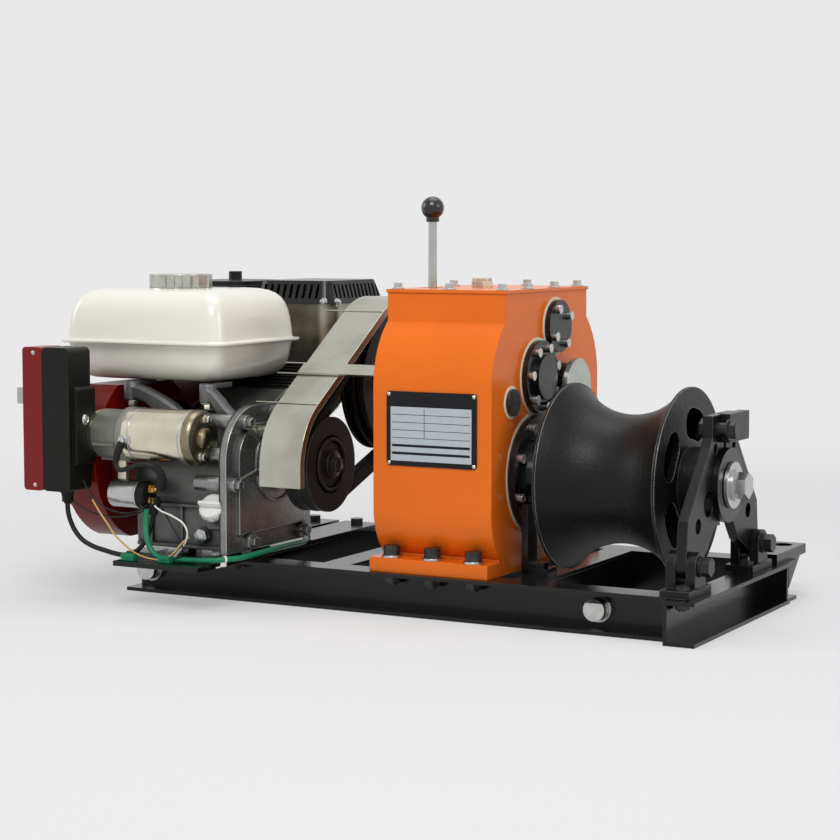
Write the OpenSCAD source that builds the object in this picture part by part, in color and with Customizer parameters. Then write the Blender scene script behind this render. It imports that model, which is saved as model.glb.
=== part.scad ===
// Engine-driven capstan winch: a channel-iron sled carries a small petrol engine, a belt drive,
// a reduction gearbox with a shift lever and a concave capstan drum. Two hinged arms carry the
// drum's outer end and swing open so that a rope can be laid round the drum.
// X runs from the engine to the drum, Y across the sled, Z up. The origin is on the ground, under
// the drum's inboard flange, on the gearbox's middle plane.

/* [Frame] */
// Height of the rail channel
rail_h = 50; // [40:1:65]
// Flange width of the rail channel
rail_flange = 37; // [30:1:45]
// Thickness of the channel's web and flanges
rail_wall = 4.5; // [3:0.5:6]
// Half width of the sled over the rail flanges
sled_half = 170; // [165:1:190]
// Length of the sled from the engine end to the end channel's web
sled_len = 734; // [700:1:800]
// X of the end channel's web
end_x = 200; // [195:1:215]
// How far the end channel passes the near rail
end_over = 21; // [5:1:40]
// Thickness of the engine bearer plate
bearer_t = 6; // [4:0.5:10]

/* [Gearbox] */
// Length of the gearbox along the sled
gear_len = 156.5; // [150:0.5:175]
// X of the gearbox's drum-side face
face_x = -29; // [-32:1:-27]
// Half width of the casing at its top
top_half = 116; // [112:1:124]
// How far the foot flange's edge lies inside the sled's edge
foot_in = 8; // [4:1:14]
// How far the foot flange stands out past the casing's bulge
foot_over = 10; // [6:1:16]
// Thickness of the foot flange
foot_t = 17; // [12:1:22]
// Height of the casing's top above the shift rail's axis
top_room = 42.4; // [36:0.2:60]
// Wall of the casing
case_wall = 8; // [6:1:9]
// Thickness of the top cover
lid_t = 4; // [3:0.5:8]

/* [Drum] */
// Y of the drum's axis
drum_y = -40; // [-44:1:-36]
// Height of the drum's axis
drum_z = 163; // [160:1:168]
// Width of the drum over its flanges
drum_w = 150; // [140:1:155]
// Radius of the drum's flanges
flange_r = 111; // [104:1:112]
// Radius of the drum's throat
throat_r = 76; // [70:1:80]
// Wall of the drum's shell
drum_wall = 9; // [6:1:12]
// Radius of the drum shaft
shaft_r = 24; // [20:0.5:25]

/* [Outboard support] */
// Thickness of each support arm
arm_t = 12; // [10:0.5:14]
// Distance of each hinge pin from the drum's axis, across the sled
pin_span = 104; // [100:1:110]
// Height of the hinge pins
pin_z = 83; // [81:1:88]
// Radius of the hinge pins
pin_r = 7; // [5:0.5:8]
// Radius of the bearing sleeve that the arms clasp
sleeve_r = 32; // [30:0.5:34]

/* [Belt drive] */
// Y of the engine's crank axis
crank_y = -125; // [-128:1:-122]
// Height of the engine's crank axis above the engine's base
crank_h = 104; // [102:1:108]
// Outer radius of the crank pulley
crank_pulley_r = 58; // [50:1:62]
// Outer radius of the driven pulley
driven_pulley_r = 88; // [80:1:94]
// Width of each pulley
pulley_w = 34; // [30:1:36]
// Width of the belt guard
guard_w = 57; // [50:1:60]
// Thickness of the guard's sheet
guard_t = 2.5; // [2:0.5:4]

/* [Engine] */
// X of the side cover's mounting face
cover_x = -352; // [-356:1:-348]
// Length of the fuel tank along the crank
tank_len = 252; // [240:1:258]
// Depth of the fuel tank across the crank
tank_depth = 204; // [196:1:208]
// Height of the tank's seam above the ground
seam_z = 315; // [312:1:320]
// Radius of the blower housing
blower_r = 108; // [100:1:110]
// Slope of the cylinder above level
cyl_tilt = 25; // [20:1:30]

/* [Hidden] */
$fn = 64;

// Clearances and the overrun of every cut
over = 1;
seat = 0.3;
run = 0.05;
slip = 0.3;

// Frame, derived
rail_in = sled_half - rail_flange;
sled_x0 = end_x - sled_len;
far_over = 33;
base_z = rail_h;
cross_places = [sled_x0, sled_x0 + 268, -9];

// Gearbox, derived
gear_x0 = face_x - gear_len;
foot_z = base_z + foot_t;
foot_half = sled_half - foot_in;
bulge_half = foot_half - foot_over;
shoulder_h = 34;
shoulder_r = 100;
toe_r = 74;
toe_rise = 57;
floor_t = 8;
toe_z = foot_z + toe_rise;
inner_x0 = gear_x0 + case_wall;
inner_x1 = face_x - case_wall;

// Gear train, derived: every shaft place follows the teeth
out_module = 4;
in_module = 3;
out_teeth = 44;
pinion_teeth = 14;
counter_teeth = 33;
input_teeth = 17;
out_reach = out_module * (out_teeth + pinion_teeth) / 2;
in_reach = in_module * (counter_teeth + input_teeth) / 2;
out_angle = 84.6;
in_angle = -13;
counter_y = drum_y + out_reach * cos(out_angle);
counter_z = drum_z + out_reach * sin(out_angle);
input_y = counter_y + in_reach * cos(in_angle);
input_z = counter_z + in_reach * sin(in_angle);
counter_r = 15;
input_r = 13;
out_gear_w = 30;
in_gear_w = 18;
out_gear_x = inner_x1 - 38;
in_gear_x = inner_x1 - 73;
out_bearing_r = 45;
in_bearing_r = 26;
bearing_w = 13;
rail_rod_y = input_y - 22;
rail_rod_z = input_z + 76;
rail_rod_r = 9;
case_z = rail_rod_z + top_room;
shoulder_z = case_z - shoulder_h;
bulge_z = shoulder_z - sqrt(pow(shoulder_r, 2) - pow(shoulder_r - (bulge_half - top_half), 2));

// Shifter, derived
lever_x = gear_x0 + 22.5;
lever_y = -44;
lever_r = 5.25;
lever_stem_r = 3.5;
pivot_z = case_z - 12;
ball_r = 5;
ball_drop = pivot_z - rail_rod_z;
knob_r = 14;
knob_z = case_z + lid_t + 97;
ring_x = inner_x0 + 28;
ring_w = 24;
ring_r = 34;
groove_r = 27;
groove_w = 8;
fork_t = 7;

// Drum, derived
drum_x = 22;
drum_x1 = drum_x + drum_w;
rim_w = 3.5;
rim_h = 12;
rim_step = 1;
sag = flange_r - rim_step - throat_r;
arc_r = (pow(drum_w / 2 - rim_w, 2) + pow(sag, 2)) / (2 * sag);
web_t = 9;
hub_r = 42;
hub_end = 24;
kidney_in = 50;
kidney_out = 87;
kidney_angle = 20;
kidney_turn = 77;
kidneys = 5;
kidney_step = 0.4;

// Support, derived
arm_x = drum_x1 + 30;
arm_x1 = arm_x + arm_t;
pin_reach = sqrt(pow(pin_span, 2) + pow(drum_z - pin_z, 2));
swing_low = atan2(drum_z - pin_z, pin_span);
foot_r = 15;
ear_t = 11;
plate_t = 9;
plate_z = base_z + plate_t;
ear_half = 16;
plate_half = 34;
arm_gap = 0.5;
tongue_in = 4;
tongue_out = 40;
tongue_top = drum_z + 82;
clamp_a = (tongue_in + tongue_out) / 2;
clamp_z = drum_z + 66;
clamp_r = 8;
bar_t = 12;
bar_h = 32;
bar_stop = 6;
collar_r = 43;
collar_t = 8;
sleeve_bore = shaft_r - 4;

// Belt drive, derived
crank_z = base_z + bearer_t + 10 + crank_h;
guard_x1 = face_x - 219;
guard_x0 = guard_x1 - guard_w;
pulley_x1 = guard_x1 - 12;
pulley_x0 = pulley_x1 - pulley_w;
guard_gap = 34;
guard_gap_driven = 20;
groove_depth = 12;
belt_w = 10;
belt_pitch = 15;
pulley_hub = 14;

// Engine, derived
engine_z = base_z + bearer_t + 10;
case_x0 = cover_x - 140;
blower_x0 = case_x0 - 92;
recoil_x0 = blower_x0 - 36;
tank_x0 = cover_x - 276;
tank_y0 = crank_y - 67;

function arc(cx, cy, r, a0, a1, n) =
    [for (i = [0:n]) [cx + r * cos(a0 + (a1 - a0) * i / n), cy + r * sin(a0 + (a1 - a0) * i / n)]];

// Solids along X, Y and Z from one end to the other
module slab(x0, x1) { translate([x0, 0, 0]) rotate([90, 0, 90]) linear_extrude(x1 - x0) children(); }
module rod(x0, x1, y, z, r) { translate([x0, y, z]) rotate([0, 90, 0]) cylinder(h = x1 - x0, r = r); }
module post(x, y, z0, z1, r) { translate([x, y, z0]) cylinder(h = z1 - z0, r = r); }
module bar_y(x, z, y0, y1, r) { translate([x, y0, z]) rotate([-90, 0, 0]) cylinder(h = y1 - y0, r = r); }
module block(a, b) { translate(a) cube(b - a); }
module hex_x(x0, x1, y, z, flat) {
    translate([x0, y, z]) rotate([0, 90, 0]) cylinder(h = x1 - x0, d = flat / cos(30), $fn = 6);
}
module hex_z(x, y, z0, z1, flat) { translate([x, y, z0]) cylinder(h = z1 - z0, d = flat / cos(30), $fn = 6); }
module round_rect(a, b, r) {
    translate(a + [r, 0]) square(b - a - [2 * r, 0]);
    translate(a + [0, r]) square(b - a - [0, 2 * r]);
    for (x = [a.x + r, b.x - r], y = [a.y + r, b.y - r]) translate([x, y]) circle(r);
}
module round_block(a, b, r) {
    translate([0, 0, a.z]) linear_extrude(b.z - a.z) round_rect([a.x, a.y], [b.x, b.y], r);
}
module layer(a, b, r, z) { translate([0, 0, z]) linear_extrude(skin_t) round_rect(a, b, r, $fn = 32); }
skin_t = 0.5;

// Gear with straight-flanked teeth; phase is the angle of one tooth's middle
tip_share = 0.12;
root_share = 0.27;
module gear_2d(teeth, size, phase) {
    pitch = 360 / teeth;
    pitch_r = teeth * size / 2;
    polygon([
        for (i = [0:teeth - 1], k = [[-root_share, -1.2], [-tip_share, 0.9], [tip_share, 0.9], [root_share, -1.2]])
            let (a = phase + pitch * (i + k.x), r = pitch_r + size * k.y) [r * cos(a), r * sin(a)]
    ]);
}
module gear(x, w, y, z, teeth, size, phase, bore) {
    difference() {
        slab(x, x + w) translate([y, z]) gear_2d(teeth, size, phase);
        rod(x - over, x + w + over, y, z, bore);
    }
}

// Frame
module channel_2d() {
    difference() {
        square([rail_flange, rail_h]);
        translate([rail_wall, rail_wall]) square([rail_flange, rail_h - 2 * rail_wall]);
    }
}
module channel_x(x0, x1) { slab(x0, x1) translate([rail_in, 0]) channel_2d(); }
module channel_y(x, y0, y1) { translate([x, y1, 0]) rotate([90, 0, 0]) linear_extrude(y1 - y0) channel_2d(); }
lash_r = 8;
lash_z = rail_h / 2;
lash_places = [end_x - 99, sled_x0 + 17];
module lash_holes(r) {
    for (x = lash_places) bar_y(x, lash_z, -rail_in - rail_wall - over, -rail_in + over, r);
}
foot_screw_r = 6;
foot_screw_y = foot_half - 12;
foot_screw_inset = 24;
foot_screw_x = [gear_x0 + foot_screw_inset, (gear_x0 + face_x) / 2, face_x - foot_screw_inset];
module foot_screw_holes(r) {
    for (x = foot_screw_x, s = [-1, 1]) post(x, s * foot_screw_y, base_z - rail_wall - over, foot_z + over, r);
}
module near_rail() {
    color("#1b1c1e") difference() {
        mirror([0, 1, 0]) channel_x(sled_x0, end_x);
        lash_holes(lash_r + slip);
        foot_screw_holes(foot_screw_r + slip);
        bearer_holes();
    }
}
module far_rail() {
    color("#1b1c1e") difference() {
        channel_x(sled_x0, end_x + far_over);
        foot_screw_holes(foot_screw_r + slip);
        bearer_holes();
    }
}
module end_channel() {
    difference() {
        channel_y(end_x, -sled_half - end_over, rail_in);
        for (p = plate_screws) post(p.x, p.y, base_z - rail_wall - over, base_z + over, plate_screw_r + slip);
    }
}
module cross_members() {
    color("#1b1c1e") {
        for (x = cross_places) channel_y(x, -rail_in, rail_in);
        end_channel();
    }
}
lug_t = 12;
lug_x0 = end_x - 18;
lug_x1 = end_x + 27;
lug_y0 = sled_half - 58;
lug_y1 = sled_half + 52;
lug_hole_r = 13;
lug_hole_y = sled_half + 27;
lug_hole_x = (lug_x0 + lug_x1) / 2;
module anchor_lug() {
    color("#1b1c1e") difference() {
        union() {
            block([lug_x0, lug_y0, base_z], [lug_x1, lug_y1, base_z + lug_t]);
            slab(lug_x1 - gusset_t - 4, lug_x1 - 4) polygon([
                [sled_half, base_z], [lug_y1 - gusset_t, base_z], [sled_half, base_z - gusset_h]
            ]);
        }
        post(lug_hole_x, lug_hole_y, base_z - over, base_z + lug_t + over, lug_hole_r);
    }
}
gusset_t = 8;
gusset_h = 38;

// Engine bearer: two plates across the rails and the holes of their bolts
bearer_w = 56;
bearer_places = [case_x0 + 14, cover_x - 59];
bearer_near = crank_y - 150;
bearer_bolt_y = [rail_in + rail_flange / 2, -rail_in - rail_flange / 2];
bolt_r = 5;
module bearer_holes() {
    for (x = bearer_places, y = bearer_bolt_y) {
        post(x + bearer_w / 2, y, base_z - rail_wall - over, base_z + bearer_t + over, bolt_r + slip);
    }
}
foot_x = [case_x0 + 45, cover_x - 45];
foot_y = [crank_y - 55, crank_y + 55];
module engine_bearer() {
    color("#1b1c1e") difference() {
        union() {
            for (x = bearer_places) {
                block([x, bearer_near, base_z], [x + bearer_w, rail_in + rail_flange, base_z + bearer_t]);
            }
            block([bearer_places[0], bearer_near, base_z], [bearer_places[1] + bearer_w, -sled_half, base_z + bearer_t]);
        }
        bearer_holes();
        for (x = foot_x, y = foot_y) post(x, y, base_z - over, base_z + bearer_t + over, bolt_r + slip);
    }
}

// Bolts of the frame: gearbox feet, lashing bolts, bearer bolts, engine feet and hinge plates
washer_t = 2.5;
module bolt_z(x, y, z0, z1, r, head, head_h) {
    post(x, y, z0, z1, r);
    hex_z(x, y, z1, z1 + head_h, head);
}
module frame_bolts() {
    color("#2a2a2c") {
        for (x = foot_screw_x, s = [-1, 1]) {
            post(x, s * foot_screw_y, base_z - rail_wall - 12, foot_z + 14, foot_screw_r);
            post(x, s * foot_screw_y, foot_z + washer_t, foot_z + 14, 2 * foot_screw_r - 2);
            post(x, s * foot_screw_y, foot_z, foot_z + washer_t, 2 * foot_screw_r);
            hex_z(x, s * foot_screw_y, base_z - rail_wall - 9, base_z - rail_wall, 3 * foot_screw_r);
        }
        for (x = bearer_places, y = bearer_bolt_y) {
            bolt_z(x + bearer_w / 2, y, base_z - rail_wall - 10, base_z + bearer_t, bolt_r, 16, 7);
            hex_z(x + bearer_w / 2, y, base_z - rail_wall - 8, base_z - rail_wall, 16);
        }
        for (x = foot_x, y = foot_y) {
            bolt_z(x, y, base_z - 10, engine_z + foot_h, bolt_r, 16, 8);
            hex_z(x, y, base_z - 8, base_z, 16);
        }
        for (p = plate_screws) {
            bolt_z(p.x, p.y, base_z - rail_wall - 9, plate_z, plate_screw_r, plate_head, plate_head_h);
            hex_z(p.x, p.y, base_z - rail_wall - 7, base_z - rail_wall, plate_head);
        }
    }
    color("#c9c7c0") {
        for (x = lash_places) {
            bar_y(x, lash_z, -rail_in - rail_wall - 14, -rail_in + 12, lash_r);
            bar_y(x, lash_z, -rail_in - rail_wall - washer_t, -rail_in - rail_wall, 2 * lash_r);
            bar_y(x, lash_z, -rail_in - rail_wall - 16, -rail_in - rail_wall - washer_t, lash_r + 5);
            bar_y(x, lash_z, -rail_in, -rail_in + 9, lash_r + 3.5);
        }
        for (x = foot_x, y = foot_y) difference() {
            hex_z(x, y, base_z + bearer_t, engine_z, 24);
            post(x, y, base_z + bearer_t - over, engine_z + over, bolt_r + run);
        }
    }
}
plate_screw_r = 5;
plate_head = 15;
plate_head_h = 5;
plate_screws = [for (s = [-1, 1], t = [-1, 1]) [end_x + 14, drum_y + s * pin_span + t * (plate_half - 9)]];
foot_h = 10;

// Gearbox casing, outline in Y and Z; inset makes the inner cavity
module casing_2d(inset) {
    top = top_half - inset;
    bulge = bulge_half - inset;
    translate([-top, foot_z]) square([2 * top, case_z - foot_z + (inset > 0 ? over : 0)]);
    translate([-bulge, toe_z]) square([2 * bulge, bulge_z - toe_z]);
    intersection() {
        translate([-bulge, bulge_z - over]) square([2 * bulge, shoulder_z - inset - bulge_z + over]);
        union() {
            for (s = [-1, 1]) translate([s * (bulge_half - shoulder_r), bulge_z]) circle(shoulder_r - inset, $fn = 96);
            translate([-bulge_half + shoulder_r, foot_z]) square([2 * (bulge_half - shoulder_r), case_z - base_z]);
        }
    }
    intersection() {
        translate([-bulge, foot_z]) square([2 * bulge, toe_rise + over]);
        union() {
            for (s = [-1, 1]) translate([s * (bulge_half - toe_r), toe_z]) circle(toe_r - inset, $fn = 96);
            translate([-bulge_half + toe_r, foot_z]) square([2 * (bulge_half - toe_r), toe_rise]);
        }
    }
}
module shaft_holes(out_r, in_r, x0, x1) {
    rod(x0, x1, drum_y, drum_z, out_r);
    rod(x0, x1, counter_y, counter_z, in_r);
    rod(x0, x1, input_y, input_z, in_r);
}
bolt_inset = 9;
screw_r = 3;
screw_len = 12;
lid_screw_x = [gear_x0 + bolt_inset, (gear_x0 + face_x) / 2, face_x - bolt_inset];
lid_screw_y = [-top_half + bolt_inset, -top_half / 3, top_half / 3, top_half - bolt_inset];
lid_screws = [for (x = lid_screw_x, y = lid_screw_y)
    if (abs(y) > top_half / 2 || x != lid_screw_x[1]) if (!(y == -top_half / 3 && x == lid_screw_x[0])) [x, y]];
module ring_places(y, z, r, n, turn) {
    for (i = [0:n - 1]) let (a = turn + 360 * i / n) translate([0, y + r * cos(a), z + r * sin(a)]) children();
}
module gearbox_housing() {
    color("#e8671c") difference() {
        union() {
            slab(gear_x0, face_x) casing_2d(0);
            block([gear_x0, -foot_half, base_z], [face_x, foot_half, foot_z]);
        }
        difference() {
            union() {
                slab(inner_x0, inner_x1) casing_2d(case_wall);
                block([inner_x0, -top_half + case_wall, base_z + floor_t], [inner_x1, top_half - case_wall, foot_z + over]);
            }
            for (p = lid_screws) {
                block([p.x - bolt_inset, p.y - bolt_inset, case_z - 2 * bolt_inset], [p.x + bolt_inset, p.y + bolt_inset, case_z]);
            }
        }
        shaft_holes(out_bearing_r + run, in_bearing_r + run, inner_x1 - over, face_x + over);
        rod(gear_x0 - over, inner_x0 + over, input_y, input_z, in_bearing_r + run);
        for (c = [[drum_y, drum_z, out_bearing_r], [counter_y, counter_z, in_bearing_r]]) {
            rod(inner_x0 - case_wall / 2, inner_x0 + over, c[0], c[1], c[2] + run);
        }
        rod(inner_x0 - case_wall / 2, face_x + over, rail_rod_y, rail_rod_z, rail_rod_r + run);
        rod(inner_x1 - over, face_x + over, plug_y, plug_z, plug_r + run);
        for (p = lid_screws) post(p.x, p.y, case_z - screw_len - over, case_z + over, screw_r + slip / 2);
        foot_screw_holes(foot_screw_r + slip);
    }
}
plug_y = counter_y - 71;
plug_z = counter_z - 26;
plug_r = 13;
plug_rim = 16;
plug_h = 5;
lid_over = 1.5;
lever_slot = 14;
breather_x = gear_x0 + 62;
breather_y = 12;
breather_r = 14;
module gearbox_cover() {
    color("#e8671c") difference() {
        block([gear_x0 - lid_over, -top_half - lid_over, case_z], [face_x + lid_over, top_half + lid_over, case_z + lid_t]);
        for (p = lid_screws) post(p.x, p.y, case_z - over, case_z + lid_t + over, screw_r + slip / 2);
        block([lever_x - lever_slot, lever_y - 2 * lever_r, case_z - over],
              [lever_x + lever_slot, lever_y + 2 * lever_r, case_z + lid_t + over]);
        post(breather_x, breather_y, case_z - over, case_z + lid_t + over, breather_r - 5 + run);
    }
}
module oil_plugs() {
    color("#19191b") {
        rod(face_x - case_wall, face_x, plug_y, plug_z, plug_r);
        rod(face_x, face_x + plug_h, plug_y, plug_z, plug_rim);
    }
    color("#c9c7c0") {
        post(breather_x, breather_y, case_z - 8, case_z + lid_t, breather_r - 5);
        hex_z(breather_x, breather_y, case_z + lid_t, case_z + lid_t + 7, 2 * breather_r - 3);
        post(breather_x, breather_y, case_z + lid_t + 7, case_z + lid_t + 11, breather_r - 2);
    }
}
plate_w = 119;
plate_h = 88;
plate_in = 6;
plate_mid_z = foot_z + 154;
rating_t = 1.5;
module rating_plate() {
    plate_x = (gear_x0 + face_x) / 2;
    color("#15161a") translate([plate_x, -bulge_half, plate_mid_z]) rotate([90, 0, 0])
        linear_extrude(rating_t) translate([-plate_w / 2, -plate_h / 2])
        round_rect([0, 0], [plate_w, plate_h], 4);
    color("#aeb0b2") translate([plate_x, -bulge_half - rating_t, plate_mid_z - plate_in]) rotate([90, 0, 0])
        linear_extrude(rating_t / 2) translate([-plate_w / 2 + plate_in, -plate_h / 2 + 2 * plate_in])
        square([plate_w - 2 * plate_in, plate_h - 4 * plate_in]);
}

// Black flange and caps on the drum-side face
flange_out_r = 70;
flange_t = 9;
flange_screws = 8;
cap_r = 44;
cap_t = 8;
boss_r = 27;
boss_t = 7;
cap_screws = 7;
small_cap_r = 30;
top_cap_r = 32;
disc_r = 36;
disc_t = 7;
module output_flange() {
    color("#17181a") difference() {
        union() {
            rod(face_x, face_x + flange_t, drum_y, drum_z, flange_out_r);
            rod(face_x + flange_t, face_x + flange_t + 5, drum_y, drum_z, out_bearing_r + 4);
        }
        rod(face_x - over, face_x + flange_t + 5 + over, drum_y, drum_z, shaft_r + 4 + slip);
        ring_places(drum_y, drum_z, flange_out_r - 9, flange_screws, 22.5) rod(face_x - over, face_x + flange_t + over, 0, 0, screw_r + slip / 2);
    }
}
module bearing_caps() {
    color("#17181a") difference() {
        union() {
            rod(face_x, face_x + cap_t, counter_y, counter_z, cap_r);
            rod(face_x + cap_t, face_x + cap_t + boss_t, counter_y, counter_z, boss_r);
            rod(face_x, face_x + 2 * cap_t, input_y, input_z, small_cap_r);
            rod(face_x, face_x + cap_t, rail_rod_y, rail_rod_z, top_cap_r);
        }
        ring_places(counter_y, counter_z, cap_r - 8, cap_screws, 20) rod(face_x - over, face_x + cap_t + over, 0, 0, screw_r + slip / 2);
        ring_places(rail_rod_y, rail_rod_z, top_cap_r - 8, 4, 30) rod(face_x - over, face_x + cap_t + over, 0, 0, screw_r + slip / 2);
    }
}
module seal_disc() {
    color("#bfbdb4") rod(face_x + 2 * cap_t, face_x + 2 * cap_t + disc_t, input_y, input_z, disc_r);
    color("#17181a") {
        hex_x(face_x + 2 * cap_t + disc_t, face_x + 2 * cap_t + disc_t + 5, input_y + 9, input_z - 8, 9);
    }
}
head_r = 5.5;
head_h = 6;
module face_screw() {
    rod(face_x, face_x + cap_t, 0, 0, screw_r);
    rod(face_x + cap_t, face_x + cap_t + head_h, 0, 0, head_r);
}
module gearbox_screws() {
    color("#cfcdc6") {
        for (p = lid_screws) {
            post(p.x, p.y, case_z - screw_len, case_z + lid_t, screw_r);
            post(p.x, p.y, case_z + lid_t, case_z + lid_t + 1.5, head_r + 2);
            hex_z(p.x, p.y, case_z + lid_t + 1.5, case_z + lid_t + 1.5 + head_h, 2 * head_r - 1);
        }
        translate([flange_t - cap_t, 0, 0]) ring_places(drum_y, drum_z, flange_out_r - 9, flange_screws, 22.5) face_screw();
        ring_places(counter_y, counter_z, cap_r - 8, cap_screws, 20) face_screw();
        ring_places(rail_rod_y, rail_rod_z, top_cap_r - 8, 4, 30) face_screw();
    }
}

// Bearings in both end walls
module bearing(x0, x1, y, z, r, bore) {
    difference() {
        rod(x0, x1, y, z, r);
        rod(x0 - over, x1 + over, y, z, bore);
    }
}
module shaft_bearings() {
    color("#b9bcc0") {
        bearing(face_x - seat - bearing_w, face_x - seat, drum_y, drum_z, out_bearing_r, shaft_r + 4 + run);
        bearing(face_x - seat - bearing_w, face_x - seat, counter_y, counter_z, in_bearing_r, counter_r + run);
        bearing(face_x - seat - bearing_w, face_x - seat, input_y, input_z, in_bearing_r, input_r + run);
        bearing(inner_x0 - case_wall / 2, inner_x0 + bearing_w - case_wall / 2, drum_y, drum_z, out_bearing_r, shaft_r + run);
        bearing(inner_x0 - case_wall / 2, inner_x0 + bearing_w - case_wall / 2, counter_y, counter_z, in_bearing_r, counter_r + run);
        bearing(gear_x0, gear_x0 + bearing_w, input_y, input_z, in_bearing_r, input_r + run);
    }
}

// Shafts and gears
module output_gear() {
    color("#8f9296") gear(out_gear_x, out_gear_w, drum_y, drum_z, out_teeth, out_module,
        out_angle + 180 / out_teeth, shaft_r + 4);
}
module drum_shaft() {
    color("#a5a7aa") {
        rod(inner_x0, out_gear_x - 6, drum_y, drum_z, shaft_r);
        rod(out_gear_x - 6, drum_x + web_t, drum_y, drum_z, shaft_r + 4);
        rod(drum_x + web_t, arm_x - 4, drum_y, drum_z, shaft_r);
        rod(arm_x - 4, arm_x1 + collar_t + 1, drum_y, drum_z, sleeve_bore);
    }
}
module countershaft() {
    color("#9a9da1") {
        rod(inner_x0, face_x - 1, counter_y, counter_z, counter_r);
        slab(out_gear_x - 1, out_gear_x + out_gear_w + 1) translate([counter_y, counter_z])
            gear_2d(pinion_teeth, out_module, out_angle + 180);
        slab(in_gear_x, in_gear_x + in_gear_w) translate([counter_y, counter_z])
            gear_2d(counter_teeth, in_module, in_angle + 180 / counter_teeth);
    }
}
module input_shaft() {
    color("#a5a7aa") {
        rod(pulley_x0 - 2, face_x - 1, input_y, input_z, input_r);
        slab(in_gear_x - 1, in_gear_x + in_gear_w + 1) translate([input_y, input_z])
            gear_2d(input_teeth, in_module, in_angle + 180);
    }
}
module dog_ring() {
    color("#85888c") difference() {
        union() {
            rod(ring_x, ring_x + ring_w, input_y, input_z, ring_r);
            for (i = [0:3]) rotate_about(input_y, input_z, 90 * i)
                block([ring_x + ring_w, input_y + 18, input_z - 5], [ring_x + ring_w + 6, input_y + 30, input_z + 5]);
        }
        bearing(ring_x + (ring_w - groove_w) / 2, ring_x + (ring_w + groove_w) / 2, input_y, input_z, ring_r + over, groove_r);
        rod(ring_x - over, ring_x + ring_w + over, input_y, input_z, input_r + run);
    }
}
module rotate_about(y, z, a) { translate([0, y, z]) rotate([a, 0, 0]) translate([0, -y, -z]) children(); }

// Shift fork on its rail, moved by the lever's ball
fork_x = ring_x + (ring_w - fork_t) / 2;
horn_gap = 2 * ball_r + slip;
horn_wall = 2.6;
horn_half = 9;
horn_top = 7;
fork_hub = 6;
module shift_fork() {
    color("#94979b") difference() {
        union() {
            rod(fork_x - 6, fork_x + fork_t + 6, rail_rod_y, rail_rod_z, rail_rod_r + 7);
            slab(fork_x, fork_x + fork_t) difference() {
                union() {
                    translate([input_y, input_z]) circle(ring_r + 12);
                    translate([rail_rod_y - 9, input_z + ring_r]) square([22, rail_rod_z - input_z - ring_r]);
                }
                translate([input_y, input_z]) circle(groove_r + slip);
                translate([input_y - ring_r - 20, input_z - ring_r - 20]) square([2 * ring_r + 40, ring_r + 15]);
            }
            block([lever_x - horn_gap / 2 - horn_wall, lever_y - horn_half, rail_rod_z - horn_half],
                  [fork_x + fork_t, lever_y + horn_half, rail_rod_z + horn_top]);
            block([fork_x - fork_hub, lever_y - horn_half, rail_rod_z - horn_top],
                  [fork_x + fork_t + fork_hub, rail_rod_y, rail_rod_z + horn_top]);
        }
        rod(fork_x - 20, fork_x + 20, rail_rod_y, rail_rod_z, rail_rod_r + run);
        block([lever_x - horn_gap / 2, lever_y - horn_half - over, rail_rod_z - horn_half - over],
              [lever_x + horn_gap / 2, lever_y + ball_r + slip, rail_rod_z + horn_top + over]);
    }
}
module fork_rail() {
    color("#a5a7aa") rod(inner_x0 - case_wall / 2, face_x - 1, rail_rod_y, rail_rod_z, rail_rod_r);
}
module lever_bracket() {
    color("#c9c7c0") {
        difference() {
            block([lever_x - lever_slot, lever_y - 20, pivot_z - 6], [lever_x + lever_slot, lever_y - 2 * lever_r, case_z]);
            bar_y(lever_x, pivot_z, lever_y - 20 - over, lever_y, 4 + run);
        }
        difference() {
            block([lever_x - lever_slot, lever_y + 2 * lever_r, pivot_z - 6], [lever_x + lever_slot, lever_y + 20, case_z]);
            bar_y(lever_x, pivot_z, lever_y, lever_y + 20 + over, 4 + run);
        }
    }
}
module shift_lever() {
    color("#c4c2ba") {
        post(lever_x, lever_y, pivot_z, knob_z - knob_r / 2, lever_r);
        post(lever_x, lever_y, rail_rod_z, pivot_z, lever_stem_r);
        translate([lever_x, lever_y, rail_rod_z]) sphere(ball_r);
        bar_y(lever_x, pivot_z, lever_y - 16, lever_y + 16, 4);
        bar_y(lever_x, pivot_z, lever_y - 9, lever_y + 9, 9);
    }
}
module lever_knob() {
    color("#141416") difference() {
        union() {
            translate([lever_x, lever_y, knob_z]) sphere(knob_r);
            post(lever_x, lever_y, knob_z - knob_r - 3, knob_z - knob_r + 4, 8);
        }
        post(lever_x, lever_y, knob_z - 2 * knob_r, knob_z - knob_r / 2, lever_r);
    }
}

// Capstan drum, drawn as radius against length and turned about X
module turned() { translate([0, drum_y, drum_z]) rotate([0, 90, 0]) rotate_extrude($fn = 120) children(); }
module drum_2d() {
    mid = drum_x + drum_w / 2;
    intersection() {
        translate([throat_r - drum_wall, drum_x + rim_w / 2]) square([sag + drum_wall + rim_step / 2, drum_w - rim_w]);
        translate([throat_r + arc_r, mid]) difference() {
            circle(arc_r + drum_wall, $fn = 120);
            circle(arc_r, $fn = 120);
        }
    }
    translate([flange_r - rim_h, drum_x]) square([rim_h, rim_w]);
    translate([flange_r - 2 * rim_h, drum_x1 - rim_w]) square([2 * rim_h, rim_w]);
    translate([shaft_r + 4, drum_x]) square([flange_r - rim_h - shaft_r - 2, web_t]);
    translate([shaft_r, drum_x + web_t]) square([8, drum_w - web_t]);
    translate([shaft_r, drum_x1 - web_t]) square([flange_r - rim_h - shaft_r - 8, web_t]);
    translate([shaft_r, drum_x1 - web_t]) square([hub_r - shaft_r, web_t + hub_end]);
}
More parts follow.
